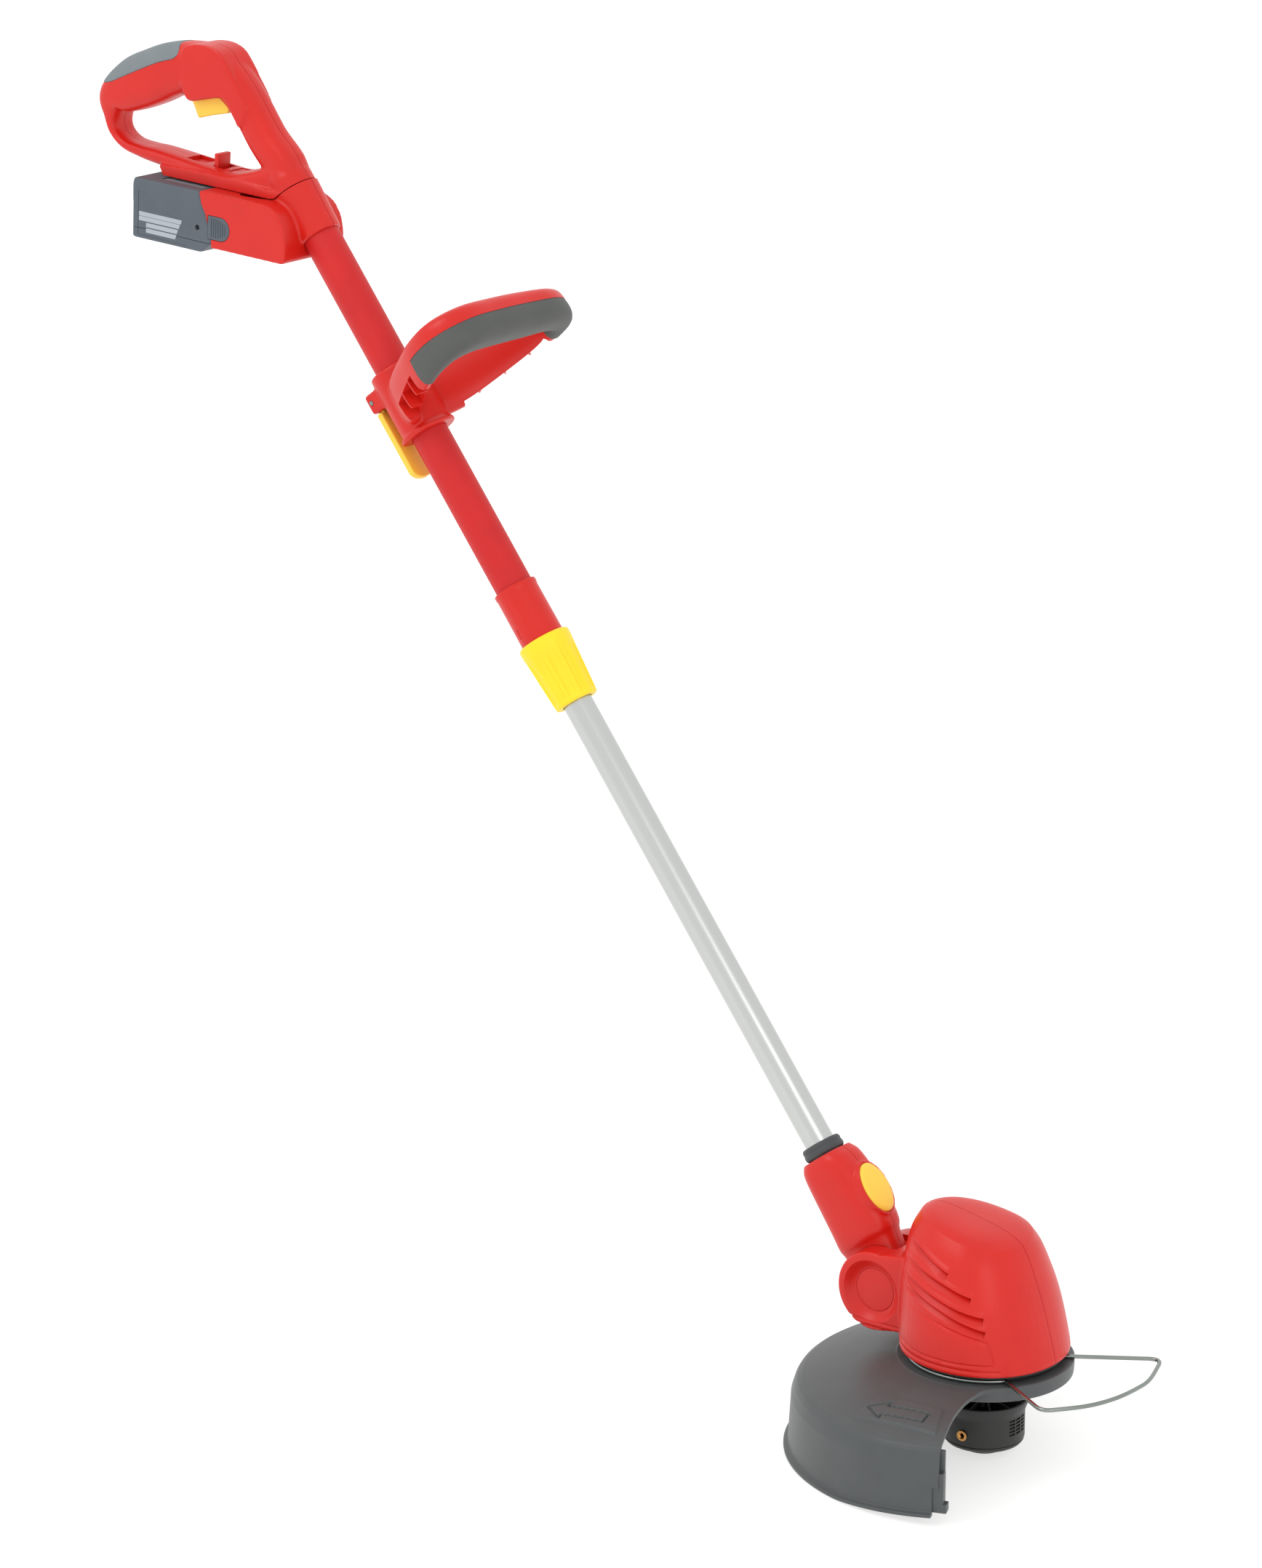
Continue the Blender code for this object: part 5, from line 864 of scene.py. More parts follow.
def front_handle():
    top = FRONT_START + 0.054
    rows = smooth(BOW, 6)
    body = sweep("front_handle_body", rows, UP, count=40, power=3.0)
    collar = turned("collar_tool", [
        (0.0, top), (0.0195, top), (0.0195, FRONT_START + 0.0045), (0.0215, FRONT_START + 0.0030),
        (0.0215, FRONT_START), (0.0, FRONT_START)], 0.0010)
    fuse(body, collar)
    back = -LEVER_PIN[0] + 0.0042
    ears = block("ears_tool", (-back, -0.0130, LEVER_PIN[1] - 0.0082),
                 (0.0, 0.0130, LEVER_PIN[1] + 0.0070), 0.0015)
    fuse(body, ears)
    melt(body, 0.0010, 4)
    for side in (-1, 1):
        stop = GRIP_START if side < 0 else GRIP_STOP
        arm = [row for row in rows if 0.014 < row[0] < stop - 0.003 and row[1] * side > 0.0]
        for start in range(0, len(arm) - 1, RIB_EVERY):
            part = arm[start:start + RIB_EVERY + 1]
            if len(part) < 3:
                continue
            run = (Vector(part[-1][:3]) - Vector(part[0][:3])).normalized() * RIB_HALF
            first = (*(Vector(part[0][:3]) + run), *part[0][3:])
            last = (*(Vector(part[-1][:3]) - run), *part[-1][3:])
            cut(body, sweep("pocket_tool", [first] + part[1:-1] + [last], UP, section=pocket_section))
        cut(body, sweep("trim_tool", arm, UP, section=trim_section))
    cut(body, bore(TUBE_BORE, FRONT_START - 0.01, top + 0.01))
    cut(body, block("window_tool", (-back - 0.004, -0.0078, LEVER_PIN[1] - 0.012),
                    (-0.0100, 0.0078, LEVER_PIN[1] + 0.010)))
    cut(body, block("room_tool", (-back - 0.004, -0.0113, FRONT_START - 0.004),
                    (-0.0175, 0.0113, LEVER_PIN[1] - 0.0085)))
    cut(body, cross(rod("pin_tool", 0.0020, -FAR, FAR), LEVER_PIN))
    soft = [(x, y, z - v * (1.0 - GRIP_SHARE) - GAP, u + 0.0004, v * GRIP_SHARE + 0.0008)
            for x, y, z, u, v in rows if x > (GRIP_START if y < 0.02 else GRIP_STOP)]
    pocket = [(x, y, z, u + GAP, v + GAP) for x, y, z, u, v in soft]
    cut(body, sweep("grip_tool", pocket, UP, power=2.6))
    dress(body, POLE, "front_handle", RED, ["front_handle_frame"])
    grip = sweep("front_grip_pad", soft, UP, count=48, power=2.6)
    dress(grip, POLE, "front_handle", SOFT_DARK, ["front_grip"])
    repaint(BLACK, "clamp_pad")
    pin = cross(rod("lever_pin_bare", 0.00175, -0.0134, 0.0134, 0.0004), LEVER_PIN)
    dress(pin, POLE, "front_handle", STEEL, ["lever_pin"])


def clamp_lever():
    near = -0.0195 - 0.0022 - GAP
    lever = cross(rod("clamp_lever_blade", 0.0042, -0.0075, 0.0075, 0.0004), LEVER_PIN)
    fuse(lever, block("arm_tool", (near - 0.005, -0.0075, LEVER_PIN[1] - 0.016),
                      (near, 0.0075, LEVER_PIN[1] + 0.001)))
    outline = []
    for step in range(17):
        angle = math.pi * step / 16
        outline.append((0.675 + 0.0066 * (1 - math.sin(angle)), 0.011 * math.cos(angle)))
    outline += [(LEVER_PIN[1] - 0.0095, -0.011), (LEVER_PIN[1] - 0.0095, 0.011)]
    blade = plate("blade_tool", outline, 0.0025, 0.0010)
    blade.data.transform(Matrix.Translation((near - 0.0025, 0.0, 0.0))
                         @ Matrix.Rotation(-math.pi / 2, 4, "Y"))
    fuse(lever, blade)
    cut(lever, cross(rod("pin_tool", 0.00185, -FAR, FAR), LEVER_PIN))
    dress(lever, POLE, "clamp_lever", AMBER, ["clamp_lever"])


# Neck

BARREL_R = 0.0255
BUTTON_HEIGHT = 0.063
BOSS_FRONT = 0.0262
NECK_ROWS = (
    (0.0, -0.0020, 0.0200, 0.0136),
    (0.0280, -0.0020, 0.0235, 0.0136),
    (0.0360, -0.0008, 0.0252, 0.0165),
    (0.0500, 0.0008, 0.0246, 0.0185),
    (0.0780, 0.0012, 0.0230, 0.0190),
    (0.0930, 0.0005, 0.0206, 0.0190),
    (0.0985, 0.0, 0.0180, 0.0175),
    (0.1010, 0.0, 0.0165, 0.0160),
)


def plug(name, half_long, half_wide, rows):
    """An oval plug along X at the button's height, from rows of place and share."""
    return skin(name, [[Vector((x, v * share, BUTTON_HEIGHT + u * share)) for u, v in oval(
        half_long, half_wide, 64, 2.0)] for x, share in rows])


def neck():
    rings = []
    for height, centre, half_x, half_y in smooth(NECK_ROWS, 4):
        rings.append([Vector((centre + u, v, height)) for u, v in oval(half_x, half_y, 48, 3.0)])
    body = skin("neck_shell", rings)
    fuse(body, cross(rod("barrel_tool", BARREL_R, -0.0138, 0.0138, 0.0, 96), (0.0, 0.0)))
    fuse(body, plug("boss_tool", 0.0212, 0.0152, ((0.0, 1.06), (0.020, 1.04), (BOSS_FRONT, 1.0))))
    melt(body, SKIN_STEP, 5)
    cut(body, bore(0.0113, 0.0357, 0.12))
    cut(body, plug("hole_tool", 0.0193, 0.0133, ((0.012, 1.0), (BOSS_FRONT + 0.01, 1.0))))
    cut(body, cross(rod("bolt_tool", 0.0032, -FAR, FAR), (0.0, 0.0)))
    dress_halves(body, "neck_shell", POLE, "lower_pole", "neck")
    gaiter = turned("neck_gaiter", [
        (0.0138, 0.1108), (0.0150, 0.1085), (0.0146, 0.1068), (0.0152, 0.1050), (0.0152, 0.1030),
        (0.0142, 0.1013), (0.0113, 0.1013), (0.0113, 0.1108)], 0.0010)
    dress(gaiter, POLE, "lower_pole", RIM_BLACK, ["neck_ring"])
    button = plug("tilt_button_cap", 0.0190, 0.0130, (
        (0.0162, 1.0), (BOSS_FRONT, 1.0), (BOSS_FRONT + 0.0009, 0.985), (BOSS_FRONT + 0.0017, 0.93),
        (BOSS_FRONT + 0.0022, 0.80), (BOSS_FRONT + 0.0025, 0.55), (BOSS_FRONT + 0.0025, 0.05)))
    dress(button, POLE, "tilt_button", AMBER, ["tilt_button"])
    repaint(STEEL, "tilt_latch")


# Motor head

HOUSING_BASE = 0.0770
EAR_R = 0.0292
EAR_IN = 0.0144
EAR_OUT = 0.030
DISH_R = 0.020
DISH_DEPTH = 0.005
CAP_R = 0.0158
CAP_THICK = 0.0012
BOLT_ROOM_R = 0.0072
BOLT_ROOM_DEEP = 0.0250
HOUSING_ROWS = (
    (HOUSING_BASE, 0.0, 0.0580, 0.0598, 0.0592, 2.1),
    (0.0805, 0.0, 0.0585, 0.0602, 0.0597, 2.1),
    (0.1000, 0.02, 0.0535, 0.0610, 0.0580, 2.15),
    (0.1220, 0.05, 0.0470, 0.0610, 0.0540, 2.2),
    (0.1400, 0.08, 0.0405, 0.0595, 0.0485, 2.2),
    (0.1550, 0.13, 0.0345, 0.0560, 0.0425, 2.2),
    (0.1650, 0.18, 0.0290, 0.0500, 0.0360, 2.1),
)
HOUSING_TOP = (
    (0.1650, 0.18, 0.0290, 0.0500, 0.0360, 2.1),
    (0.1685, 0.195, 0.0220, 0.0420, 0.0290, 2.05),
    (0.1703, 0.20, 0.0120, 0.0270, 0.0170, 2.0),
    (0.1708, 0.20, 0.0010, 0.0020, 0.0015, 2.0),
)
# Grooves of the base band: their level and where they stop
BASE_LEVEL = 0.0856
BASE_FRONT = 0.0372
# Louvres as lines of X and Z on the housing's sides
LOUVRE_DEEP = 0.0034
LOUVRE_WIDE = 0.0060
LOUVRES = (
    ((-0.0480, 0.1600), (-0.0300, 0.1562), (-0.0150, 0.1503), (-0.0015, 0.1457)),
    ((-0.0560, 0.1490), (-0.0360, 0.1462), (-0.0172, 0.1415), (0.0001, 0.1373), (0.0182, 0.1322)),
    ((-0.0590, 0.1385), (-0.0360, 0.1354), (-0.0141, 0.1297), (0.0055, 0.1247), (0.0279, 0.1193)),
    ((-0.0570, 0.1305), (-0.0292, 0.1273), (-0.0095, 0.1224), (0.0094, 0.1169), (0.0303, 0.1101)),
)
PANEL = ((-0.0560, 0.1215), (-0.0428, 0.1194), (-0.0238, 0.1158), (-0.0026, 0.1108), (0.0149, 0.1067),
         (0.0275, 0.1034), (0.0320, 0.1015), (0.0352, 0.0930), (0.0372, 0.0862))


def housing_row(height, tilt, front, rear, side, power):
    row = []
    for u, v in oval(1.0, side, 64, power):
        x = u * (front if u > 0 else rear)
        row.append(Vector((x, v, height - tilt * x)))
    return row


def near_line(spot, line, reach):
    """Whether a place is within reach of the field that a line of X and Z fills."""
    places, levels = zip(*line)
    return (min(places) - reach < spot.x < max(places) + reach
            and min(levels) - reach < spot.z < max(levels) + reach)


def louvre_step(spot, normal):
    """How far the housing's side stands out or in at a place: slats, the panel's edge and the base band."""
    if abs(normal.y) < 0.10 or spot.z > 0.170:
        return 0.0
    out = 0.0
    for line in LOUVRES:
        if not near_line(spot, line, 0.008):
            continue
        gap, below, along = to_curve(spot.x, spot.z, line)
        if gap > 0.008 or along <= 0.0 or along >= 1.0:
            continue
        fade = ramp(along, 0.02, 0.30) * (1.0 - ramp(along, 0.975, 1.0))
        out += 0.0009 * ramp(below, -0.0042, -0.0006) * (1.0 - ramp(below, 0.0006, 0.0040)) * fade
    if near_line(spot, PANEL, 0.004):
        gap, below, along = to_curve(spot.x, spot.z, PANEL)
        if 0.0 < along < 1.0 and gap < 0.004:
            fade = ramp(along, 0.10, 0.45)
            out -= 0.0008 * (1.0 - ramp(abs(below), 0.0003, 0.0013)) * fade
    for drop in (0.0, 0.0042):
        gap = abs(spot.z - (BASE_LEVEL - drop))
        if gap < 0.002 and spot.x < BASE_FRONT + drop:
            out -= 0.0008 * (1.0 - ramp(gap, 0.0003, 0.0012))
    return out


def louvre_tool(body, line, sign):
    """A wedge under one louvre: a sharp ledge at the line, running out below it."""
    path = smooth(line, 6)
    rows = []
    for index, (x, z) in enumerate(path):
        along = index / (len(path) - 1)
        found, spot, normal, face = body.ray_cast(Vector((x, sign * FAR, z)), Vector((0.0, -sign, 0.0)))
        before = path[max(index - 1, 0)]
        after = path[min(index + 1, len(path) - 1)]
        run = Vector((after[0] - before[0], 0.0, after[1] - before[1])).normalized()
        down = Vector((run.z, 0.0, -run.x))
        down = (down - normal * down.dot(normal)).normalized()
        fade = ramp(along, 0.0, 0.35)
        depth = LOUVRE_DEEP * fade - 0.0006 * (1.0 - fade)
        wide = LOUVRE_WIDE * (0.4 + 0.6 * fade)
        rows.append([spot + normal * 0.0040, spot - normal * depth + down * 0.0002,
                     spot + down * wide + normal * 0.0002, spot + down * wide + normal * 0.0040])
    return skin("louvre_tool", rows)


def outward(sign, out):
    """The pivot's frame on one side, with Z pointing away from the middle."""
    return Matrix.Translation((PIVOT.x, sign * out, PIVOT.z)) @ Matrix.Rotation(-sign * math.pi / 2, 4, "X")


def motor_housing():
    rows = smooth(HOUSING_ROWS, 4)[:-1] + smooth(HOUSING_TOP, 3)
    body = skin("motor_housing_shell", [housing_row(*row) for row in rows])
    px, pz = PIVOT.x, PIVOT.z
    outline = []
    for step in range(33):
        x, z = polar(EAR_R, math.radians(80 + 200 * step / 32))
        outline.append((px + x, pz + z))
    outline += [(-0.050, pz - EAR_R + 0.004), (-0.040, pz - 0.005), (-0.044, pz + EAR_R + 0.004)]
    fuse(body, upright(plate("ear_tool", outline, EAR_OUT, 0.0022)))
    melt(body, SKIN_STEP, 3)
    wedges = [louvre_tool(body, line, sign) for line in LOUVRES for sign in (-1, 1)]
    press(body, louvre_step)
    for wedge in wedges:
        cut(body, wedge)
    seat = -DISH_DEPTH - CAP_THICK - SEAM
    dishes = []
    for sign in (-1, 1):
        dish = turned("dish_tool", [
            (0.0, 0.0040), (DISH_R + 0.0055, 0.0040), (DISH_R + 0.0036, 0.0002), (DISH_R + 0.0018, -0.0012),
            (DISH_R - 0.0008, -DISH_DEPTH * 0.70), (DISH_R - 0.0032, -DISH_DEPTH),
            (CAP_R + SEAM, -DISH_DEPTH), (CAP_R + SEAM, seat), (BOLT_ROOM_R, seat),
            (BOLT_ROOM_R, -BOLT_ROOM_DEEP), (0.0, -BOLT_ROOM_DEEP)], 0.0004)
        dish.data.transform(outward(sign, EAR_OUT))
        dishes.append(dish)
    cut(body, gather(*dishes))
    gap_outline = [(px - 0.060, pz - 0.060), (px + 0.006, pz - 0.060), (px + 0.0105, pz - 0.024)]
    for step in range(25):
        x, z = polar(BARREL_R + 0.0012, math.radians(-66 + 132 * step / 24))
        gap_outline.append((px + x, pz + z))
    gap_outline += [(px + 0.0105, pz + 0.060), (px - 0.060, pz + 0.060)]
    cut(body, upright(plate("gap_tool", gap_outline, EAR_IN)))
    dress_halves(body, "motor_shell", WORLD, "head", "motor_housing")
    for sign, name in ((-1, "right"), (1, "left")):
        cap = turned("pivot_disc", [
            (0.0, 0.0), (CAP_R, 0.0), (CAP_R, -CAP_THICK), (0.0, -CAP_THICK)], 0.0003)
        cap.data.transform(outward(sign, EAR_OUT - DISH_DEPTH))
        cap.name = "pivot_disc_" + name
        dress(cap, WORLD, "head", RED, ["pivot_cap_" + name])
    base = turned("head_base_ring", [
        (0.0568, 0.0767), (0.0568, 0.0748), (0.0528, 0.0748), (0.0528, 0.0711), (0.0522, 0.0711),
        (0.0522, 0.0600), (0.0060, 0.0600), (0.0060, 0.0767)], 0.0004)
    dress(base, WORLD, "head", BLACK, ["head_base"])
    repaint(STEEL, "tilt_ratchet", "motor_can", "lower_bearing", "line_cutter", "pivot_bolt", "pivot_nut")
    repaint(BLACK, "motor_cradle")


# Cutting guard

GUARD_R = 0.1385
HUB_R = 0.0625
HUB_HIGH = 0.0712
GUARD_NEAR = math.radians(-69.5)
GUARD_FAR = math.radians(113.0)
GUARD_WALL = 0.0025
RISE = 0.075
RISE_START = -0.030
RISE_RUN = 0.050
RISE_FADE = 0.150
PLATE_TOP = ((HUB_R + 0.0010, 0.0706), (0.0760, 0.0676), (0.0900, 0.0640), (0.1050, 0.0602), (0.1180, 0.0565),
             (0.1290, 0.0530), (0.1325, 0.0508), (GUARD_R - 0.0040, 0.0475), (GUARD_R - 0.0017, 0.0400))
ARROW = ((-0.0262, -0.1065), (-0.0125, -0.0972), (-0.0125, -0.1018), (0.0200, -0.0992), (0.0205, -0.1092),
         (-0.0115, -0.1118), (-0.0110, -0.1160))
ARROW_STEP = 0.00045
ARROW_PANEL = ((-0.0262, -0.0920), (0.0255, -0.0895), (0.0372, -0.1165), (-0.0325, -0.1195))


def guard_rise(x, radius, height):
    """How much higher the guard stands towards its opening."""
    share = min(max((radius - HUB_R) / RISE_RUN, 0.0), 1.0)
    return RISE * share * max(x - RISE_START, 0.0) * (1.0 - height / RISE_FADE)


def guard_top(x, y):
    """Height of the guard's upper face."""
    radius = math.hypot(x, y)
    for low, high in zip(PLATE_TOP, PLATE_TOP[1:]):
        if low[0] <= radius <= high[0]:
            t = (radius - low[0]) / (high[0] - low[0])
            height = low[1] + (high[1] - low[1]) * t
            return height + guard_rise(x, radius, height)
    return PLATE_TOP[0][1]


def to_outline(x, y, outline):
    """Distance to a closed outline, negative inside it."""
    closed = list(outline) + [outline[0]]
    gap = to_curve(x, y, closed)[0]
    inside = False
    for start, stop in zip(closed, closed[1:]):
        if (start[1] > y) != (stop[1] > y):
            if x < start[0] + (y - start[1]) * (stop[0] - start[0]) / (stop[1] - start[1]):
                inside = not inside
    return -gap if inside else gap


def edge_frame(radius, angle):
    return Matrix.Rotation(angle, 4, "Z") @ Matrix.Translation((radius, -0.0060, 0.0))


def guard():
    inner = GUARD_R - GUARD_WALL
    under = [(radius - 0.0004, height - GUARD_WALL) for radius, height in PLATE_TOP[1:-1]]
    profile = ([(HUB_R - 0.010, HUB_HIGH), (HUB_R - 0.010, 0.0600), (HUB_R - 0.0008, 0.0600), (HUB_R, 0.0608),
                (HUB_R + 0.0005, HUB_HIGH - 0.0040)] + under
               + [(inner - 0.0015, 0.0390), (inner, 0.0100), (inner, 0.0), (GUARD_R + 0.0035, 0.0),
                  (GUARD_R + 0.0035, 0.0022), (GUARD_R + 0.0004, 0.0034), (GUARD_R, 0.0100)]
               + list(reversed(PLATE_TOP)) + [(HUB_R - 0.0004, HUB_HIGH)])
    body = turned("guard_shell", profile, 0.0006, 224)
    for vert in body.data.vertices:
        vert.co.z += guard_rise(vert.co.x, math.hypot(vert.co.x, vert.co.y), vert.co.z)
    rim = HUB_R + 0.0004
    outline = []
    for step in range(61):
        outline.append(polar(rim, GUARD_NEAR + 0.40 + (GUARD_FAR - GUARD_NEAR - 0.80) * step / 60))
    fillet = smooth(((0.0632, -0.320), (0.0645, -0.225), (0.0672, -0.170), (0.0714, -0.124), (0.0806, -0.056),
                     (0.0931, -0.017), (0.1055, -0.004), (0.1200, 0.0), (0.1400, 0.0), (0.2600, 0.0)), 4)
    outline += [polar(reach, GUARD_FAR + turn) for reach, turn in fillet]
    outline += [(0.3600, 0.2600), (0.3600, -0.2600)]
    outline += [polar(reach, GUARD_NEAR - turn) for reach, turn in reversed(fillet)]
    cut(body, plate("opening_tool", outline, WIDE))
    edge = edge_frame(GUARD_R - 0.0095, GUARD_NEAR)
    cut(body, block("step_tool", (0.0060, 0.0016, -0.0050), (0.0180, 0.0200, 0.0265), 0.0, edge))
    fuse(body, block("holder_tool", (0.0, -0.0030, 0.0080), (0.0080, 0.0092, 0.0370), 0.0006, edge))
    fuse(body, block("strip_tool", (0.0, 0.0, 0.0330), (0.0034, 0.0090, 0.0525), 0.0006, edge))
    fuse(body, block("lip_tool", (0.0, 0.0, 0.0080), (0.0080, 0.0116, 0.0145), 0.0006, edge))
    holder = edge_frame(GUARD_R - 0.0095, GUARD_NEAR - math.radians(1.6))
    cut(body, block("slit_tool", (-0.0113, 0.0022, 0.0117), (0.0053, 0.0040, 0.0363), 0.0, holder))
    dress(body, WORLD, "head", GUARD_GREY, ["guard"])
    sign = arrow_panel()
    dress(sign, WORLD, "head", GUARD_GREY)


def arrow_panel():
    """A raised field on the guard with the outline of a plain direction arrow."""
    low_x, high_x = -0.0345, 0.0390
    low_y, high_y = -0.1215, -0.0875
    wide = int((high_x - low_x) / ARROW_STEP)
    deep = int((high_y - low_y) / ARROW_STEP)
    rows = []
    for line in range(deep + 1):
        row = []
        y = low_y + line * ARROW_STEP
        for column in range(wide + 1):
            x = low_x + column * ARROW_STEP
            field = to_outline(x, y, ARROW_PANEL)
            lift = 0.0015 * (1.0 - ramp(field, -0.0012, 0.0002)) - 0.0006 * ramp(field, 0.0, 0.0010)
            ring = abs(to_outline(x, y, ARROW))
            lift -= 0.0017 * (1.0 - ramp(ring, 0.0003, 0.0012))
            row.append(Vector((x, y, guard_top(x, y) + lift)))
        rows.append(row)
    shape = bmesh.new()
    tops = [[shape.verts.new(point) for point in row] for row in rows]
    for first, second in zip(tops, tops[1:]):
        for index in range(wide):
            corners = (first[index], first[index + 1], second[index + 1], second[index])
            if max(to_outline(corner.co.x, corner.co.y, ARROW_PANEL) for corner in corners) < 0.0009:
                shape.faces.new(corners)
    bmesh.ops.delete(shape, geom=[vert for vert in shape.verts if not vert.link_faces], context="VERTS")
    item = link("guard_arrow_field", shape)
    thick = item.modifiers.new("thick", "SOLIDIFY")
    thick.thickness = 0.0012
    thick.offset = -1.0
    return bake(item)


# Wire plant guard

WIRE_R = 0.0015
WIRE_LEVEL = 0.0728
WIRE_RING_R = 0.0551
WIRE_LOOP = (
    (0.0400, -0.0358), (0.0893, -0.0650), (0.1085, -0.0400), (0.1176, -0.0170), (0.1206, 0.0080),
    (0.1190, 0.0280), (0.1070, 0.0628), (0.0480, 0.0246),
)


def wire_guard():
    def around(start, stop, steps):
        return [polar(WIRE_RING_R, start + (stop - start) * step / steps) for step in range(steps + 1)]

    end = math.radians(136.0)
    near = around(-end, math.radians(-43.0), 36)
    far = around(math.radians(29.0), end, 40)
    front = smooth(WIRE_LOOP[1:-1], 8)
    corner_near = soften([near[-1], WIRE_LOOP[0], WIRE_LOOP[1], front[5]], 0.013, 8, False)
    corner_far = soften([front[-6], WIRE_LOOP[-2], WIRE_LOOP[-1], far[0]], 0.019, 8, False)
    path = near[:-1] + [tuple(point) for point in corner_near[:-1]] + front[5:-6]
    path += [tuple(point) for point in corner_far] + far[1:]
    bow = tube("wire_guard_bow", [(point[0], point[1], WIRE_LEVEL) for point in path], WIRE_R)
    dress(bow, WORLD, "wire_guard", STEEL, ["wire_guard"], 60.0)


# Spool

SPOOL_R = 0.0290
EYELET_ANGLE = math.radians(-88.0)
EYELET_LEVEL = 0.0185


def spool_head():
    body = turned("spool_drum", [
        (0.0318, 0.0402), (0.0318, 0.0390), (0.0306, 0.0350), (0.0292, 0.0312), (SPOOL_R, 0.0290),
        (SPOOL_R, 0.0104), (0.0268, 0.0104), (0.0268, 0.0298), (0.0085, 0.0298), (0.0085, 0.0285),
        (0.0026, 0.0285), (0.0026, 0.0575), (0.0055, 0.0575), (0.0055, 0.0430), (0.0080, 0.0330),
        (0.0275, 0.0330), (0.0300, 0.0402)], 0.0004)
    for turn in range(12):
        fin = block("fin_tool", (0.0050, -0.0006, 0.0320), (0.0292, 0.0006, 0.0392), 0.0003,
                    Matrix.Rotation(turn * math.tau / 12 + 0.2, 4, "Z"))
        fuse(body, fin)
    for column in range(3):
        for level in range(5):
            place = (Matrix.Rotation(math.radians(-13.0 + column * 13.0), 4, "Z")
                     @ Matrix.Translation((SPOOL_R, 0.0, 0.0182 + level * 0.0026)))
            cut(body, block("vent_tool", (-0.0012, -0.0027, -0.0008), (0.002, 0.0027, 0.0008), 0.0, place))
    for turn in (0, 1):
        hole = rod("hole_tool", 0.0035, -0.006, 0.006)
        hole.data.transform(eyelet_frame(turn) @ Matrix.Rotation(math.pi / 2, 4, "Y"))
        cut(body, hole)
    dress(body, WORLD, "spool", BLACK, ["spool_housing"])
    cover = turned("spool_lid", [
        (0.0286, 0.0100), (0.0286, 0.0086), (0.0270, 0.0066), (0.0200, 0.0046), (0.0173, 0.0042),
        (0.0173, 0.0060), (0.0230, 0.0070), (0.0246, 0.0098), (0.0246, 0.0125), (0.0265, 0.0125),
        (0.0265, 0.0100)], 0.0005)
    dress(cover, WORLD, "spool", BLACK, ["spool_cover"])
    for turn, name in enumerate(("eyelet_right", "eyelet_left")):
        ring = turned(name + "_bush", [
            (0.0040, 0.0012), (0.0040, 0.0004), (0.0032, 0.0002), (0.0032, -0.0032), (0.0014, -0.0032),
            (0.0014, 0.0002), (0.0022, 0.0012)], 0.0003, 40)
        ring.data.transform(eyelet_frame(turn) @ Matrix.Rotation(math.pi / 2, 4, "Y"))
        dress(ring, WORLD, "spool", BRASS, [name])
    cap = turned("bump_knob", [
        (0.0, 0.0075), (0.0202, 0.0080), (0.0202, 0.0068), (0.0165, 0.0068), (0.0160, 0.0020), (0.0140, 0.0),
        (0.0, 0.0)], 0.0006)
    dress(cap, WORLD, "bump", BLACK, ["bump_cap"])
    repaint(STEEL, "motor_shaft", "reel_spring")
    repaint(COPPER, "armature")
    repaint(BLACK, "cooling_fan", "line_reel")
    repaint(ORANGE, "wound_line")


def eyelet_frame(turn):
    around = Matrix.Rotation(EYELET_ANGLE + turn * math.pi, 4, "Z")
    return around @ Matrix.Translation((SPOOL_R, 0.0, EYELET_LEVEL))


# Stage, light and camera

FLOOR_SIZE = 12.0
FLOOR_LEVEL = -0.0006
FLOOR_GREY = (0.42, 0.42, 0.418, 1.0)
STUDIO_WHITE = (1.0, 1.0, 0.995, 1.0)
FLOOR_GLOW = 0.66
STUDIO_LIGHT = 1.05
CLIP_END = 30.0
# Lights: name, place, power, size and where it points
LIGHTS = (
    ("key_light", (-1.6, -2.2, 3.2), 24.0, 1.6, (-0.3, 0.0, 0.4)),
    ("side_light", (2.4, -1.6, 1.6), 8.0, 1.4, (-0.3, 0.0, 0.4)),
)


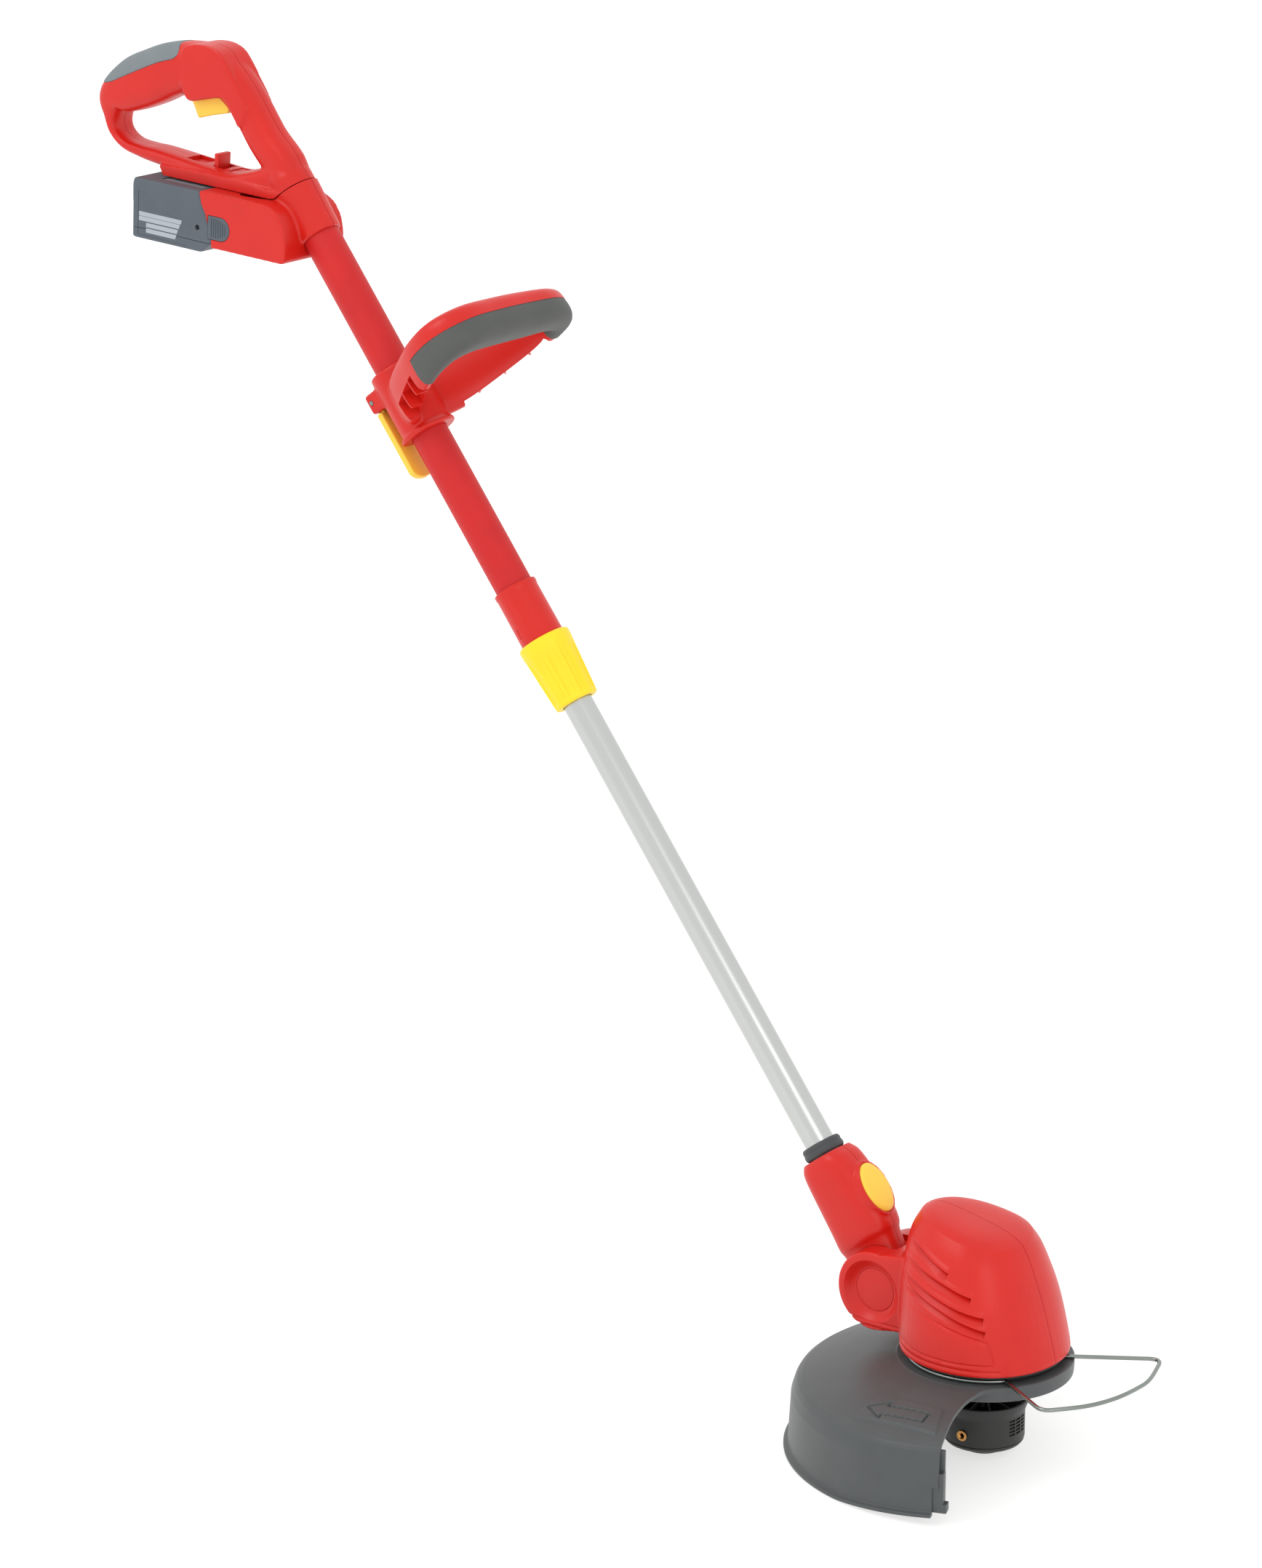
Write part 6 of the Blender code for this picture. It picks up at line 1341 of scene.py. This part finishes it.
def stage():
    shape = bmesh.new()
    bmesh.ops.create_grid(shape, x_segments=1, y_segments=1, size=FLOOR_SIZE)
    floor = link("floor", shape)
    floor.location = (0.0, 0.0, FLOOR_LEVEL)
    pale = bpy.data.materials.new("pale_floor")
    pale.use_nodes = True
    set_inputs(pale.node_tree.nodes["Principled BSDF"], Base_Color=FLOOR_GREY, Emission_Color=STUDIO_WHITE,
               Emission_Strength=FLOOR_GLOW, Roughness=0.9, Specular_IOR_Level=0.1)
    floor.data.materials.append(pale)
    world = bpy.data.worlds.new("studio")
    world.use_nodes = True
    set_inputs(world.node_tree.nodes["Background"], Color=STUDIO_WHITE, Strength=STUDIO_LIGHT)
    bpy.context.scene.world = world
    for name, place, power, size, aim in LIGHTS:
        data = bpy.data.lights.new(name, "AREA")
        data.energy = power
        data.size = size
        light = add_object(name, data)
        light.location = place
        light.rotation_mode = "QUATERNION"
        light.rotation_quaternion = (Vector(aim) - Vector(place)).to_track_quat("-Z", "Y")
    bpy.context.scene.view_settings.view_transform = "Standard"


def camera():
    """The photograph's viewpoint: the origin falls on its pixel at the view's distance."""
    right = Vector((math.cos(VIEW_AZIMUTH), math.sin(VIEW_AZIMUTH), 0.0))
    ahead = Vector((-math.sin(VIEW_AZIMUTH) * math.cos(VIEW_ELEVATION),
                    math.cos(VIEW_AZIMUTH) * math.cos(VIEW_ELEVATION), -math.sin(VIEW_ELEVATION)))
    upward = right.cross(ahead)
    shift_right = (PHOTO_ORIGIN[0] - PHOTO_WIDE / 2) / PHOTO_FOCAL * VIEW_DISTANCE
    shift_down = (PHOTO_ORIGIN[1] - PHOTO_HIGH / 2) / PHOTO_FOCAL * VIEW_DISTANCE
    place = -(right * shift_right - upward * shift_down + ahead * VIEW_DISTANCE)
    data = bpy.data.cameras.new("photo_view")
    data.sensor_fit = "AUTO"
    data.sensor_width = SENSOR
    data.lens = PHOTO_FOCAL / PHOTO_HIGH * SENSOR
    data.clip_end = CLIP_END
    item = add_object("photo_view", data)
    item.matrix_world = Matrix((
        (right.x, upward.x, -ahead.x, place.x), (right.y, upward.y, -ahead.y, place.y),
        (right.z, upward.z, -ahead.z, place.z), (0.0, 0.0, 0.0, 1.0)))
    bpy.context.scene.camera = item


camera()
rear_handle()
trigger()
swivel_lock()
battery_housing()
battery()
upper_pole()
twist_collar()
lower_pole()
front_handle()
clamp_lever()
neck()
motor_housing()
guard()
wire_guard()
spool_head()
stage()
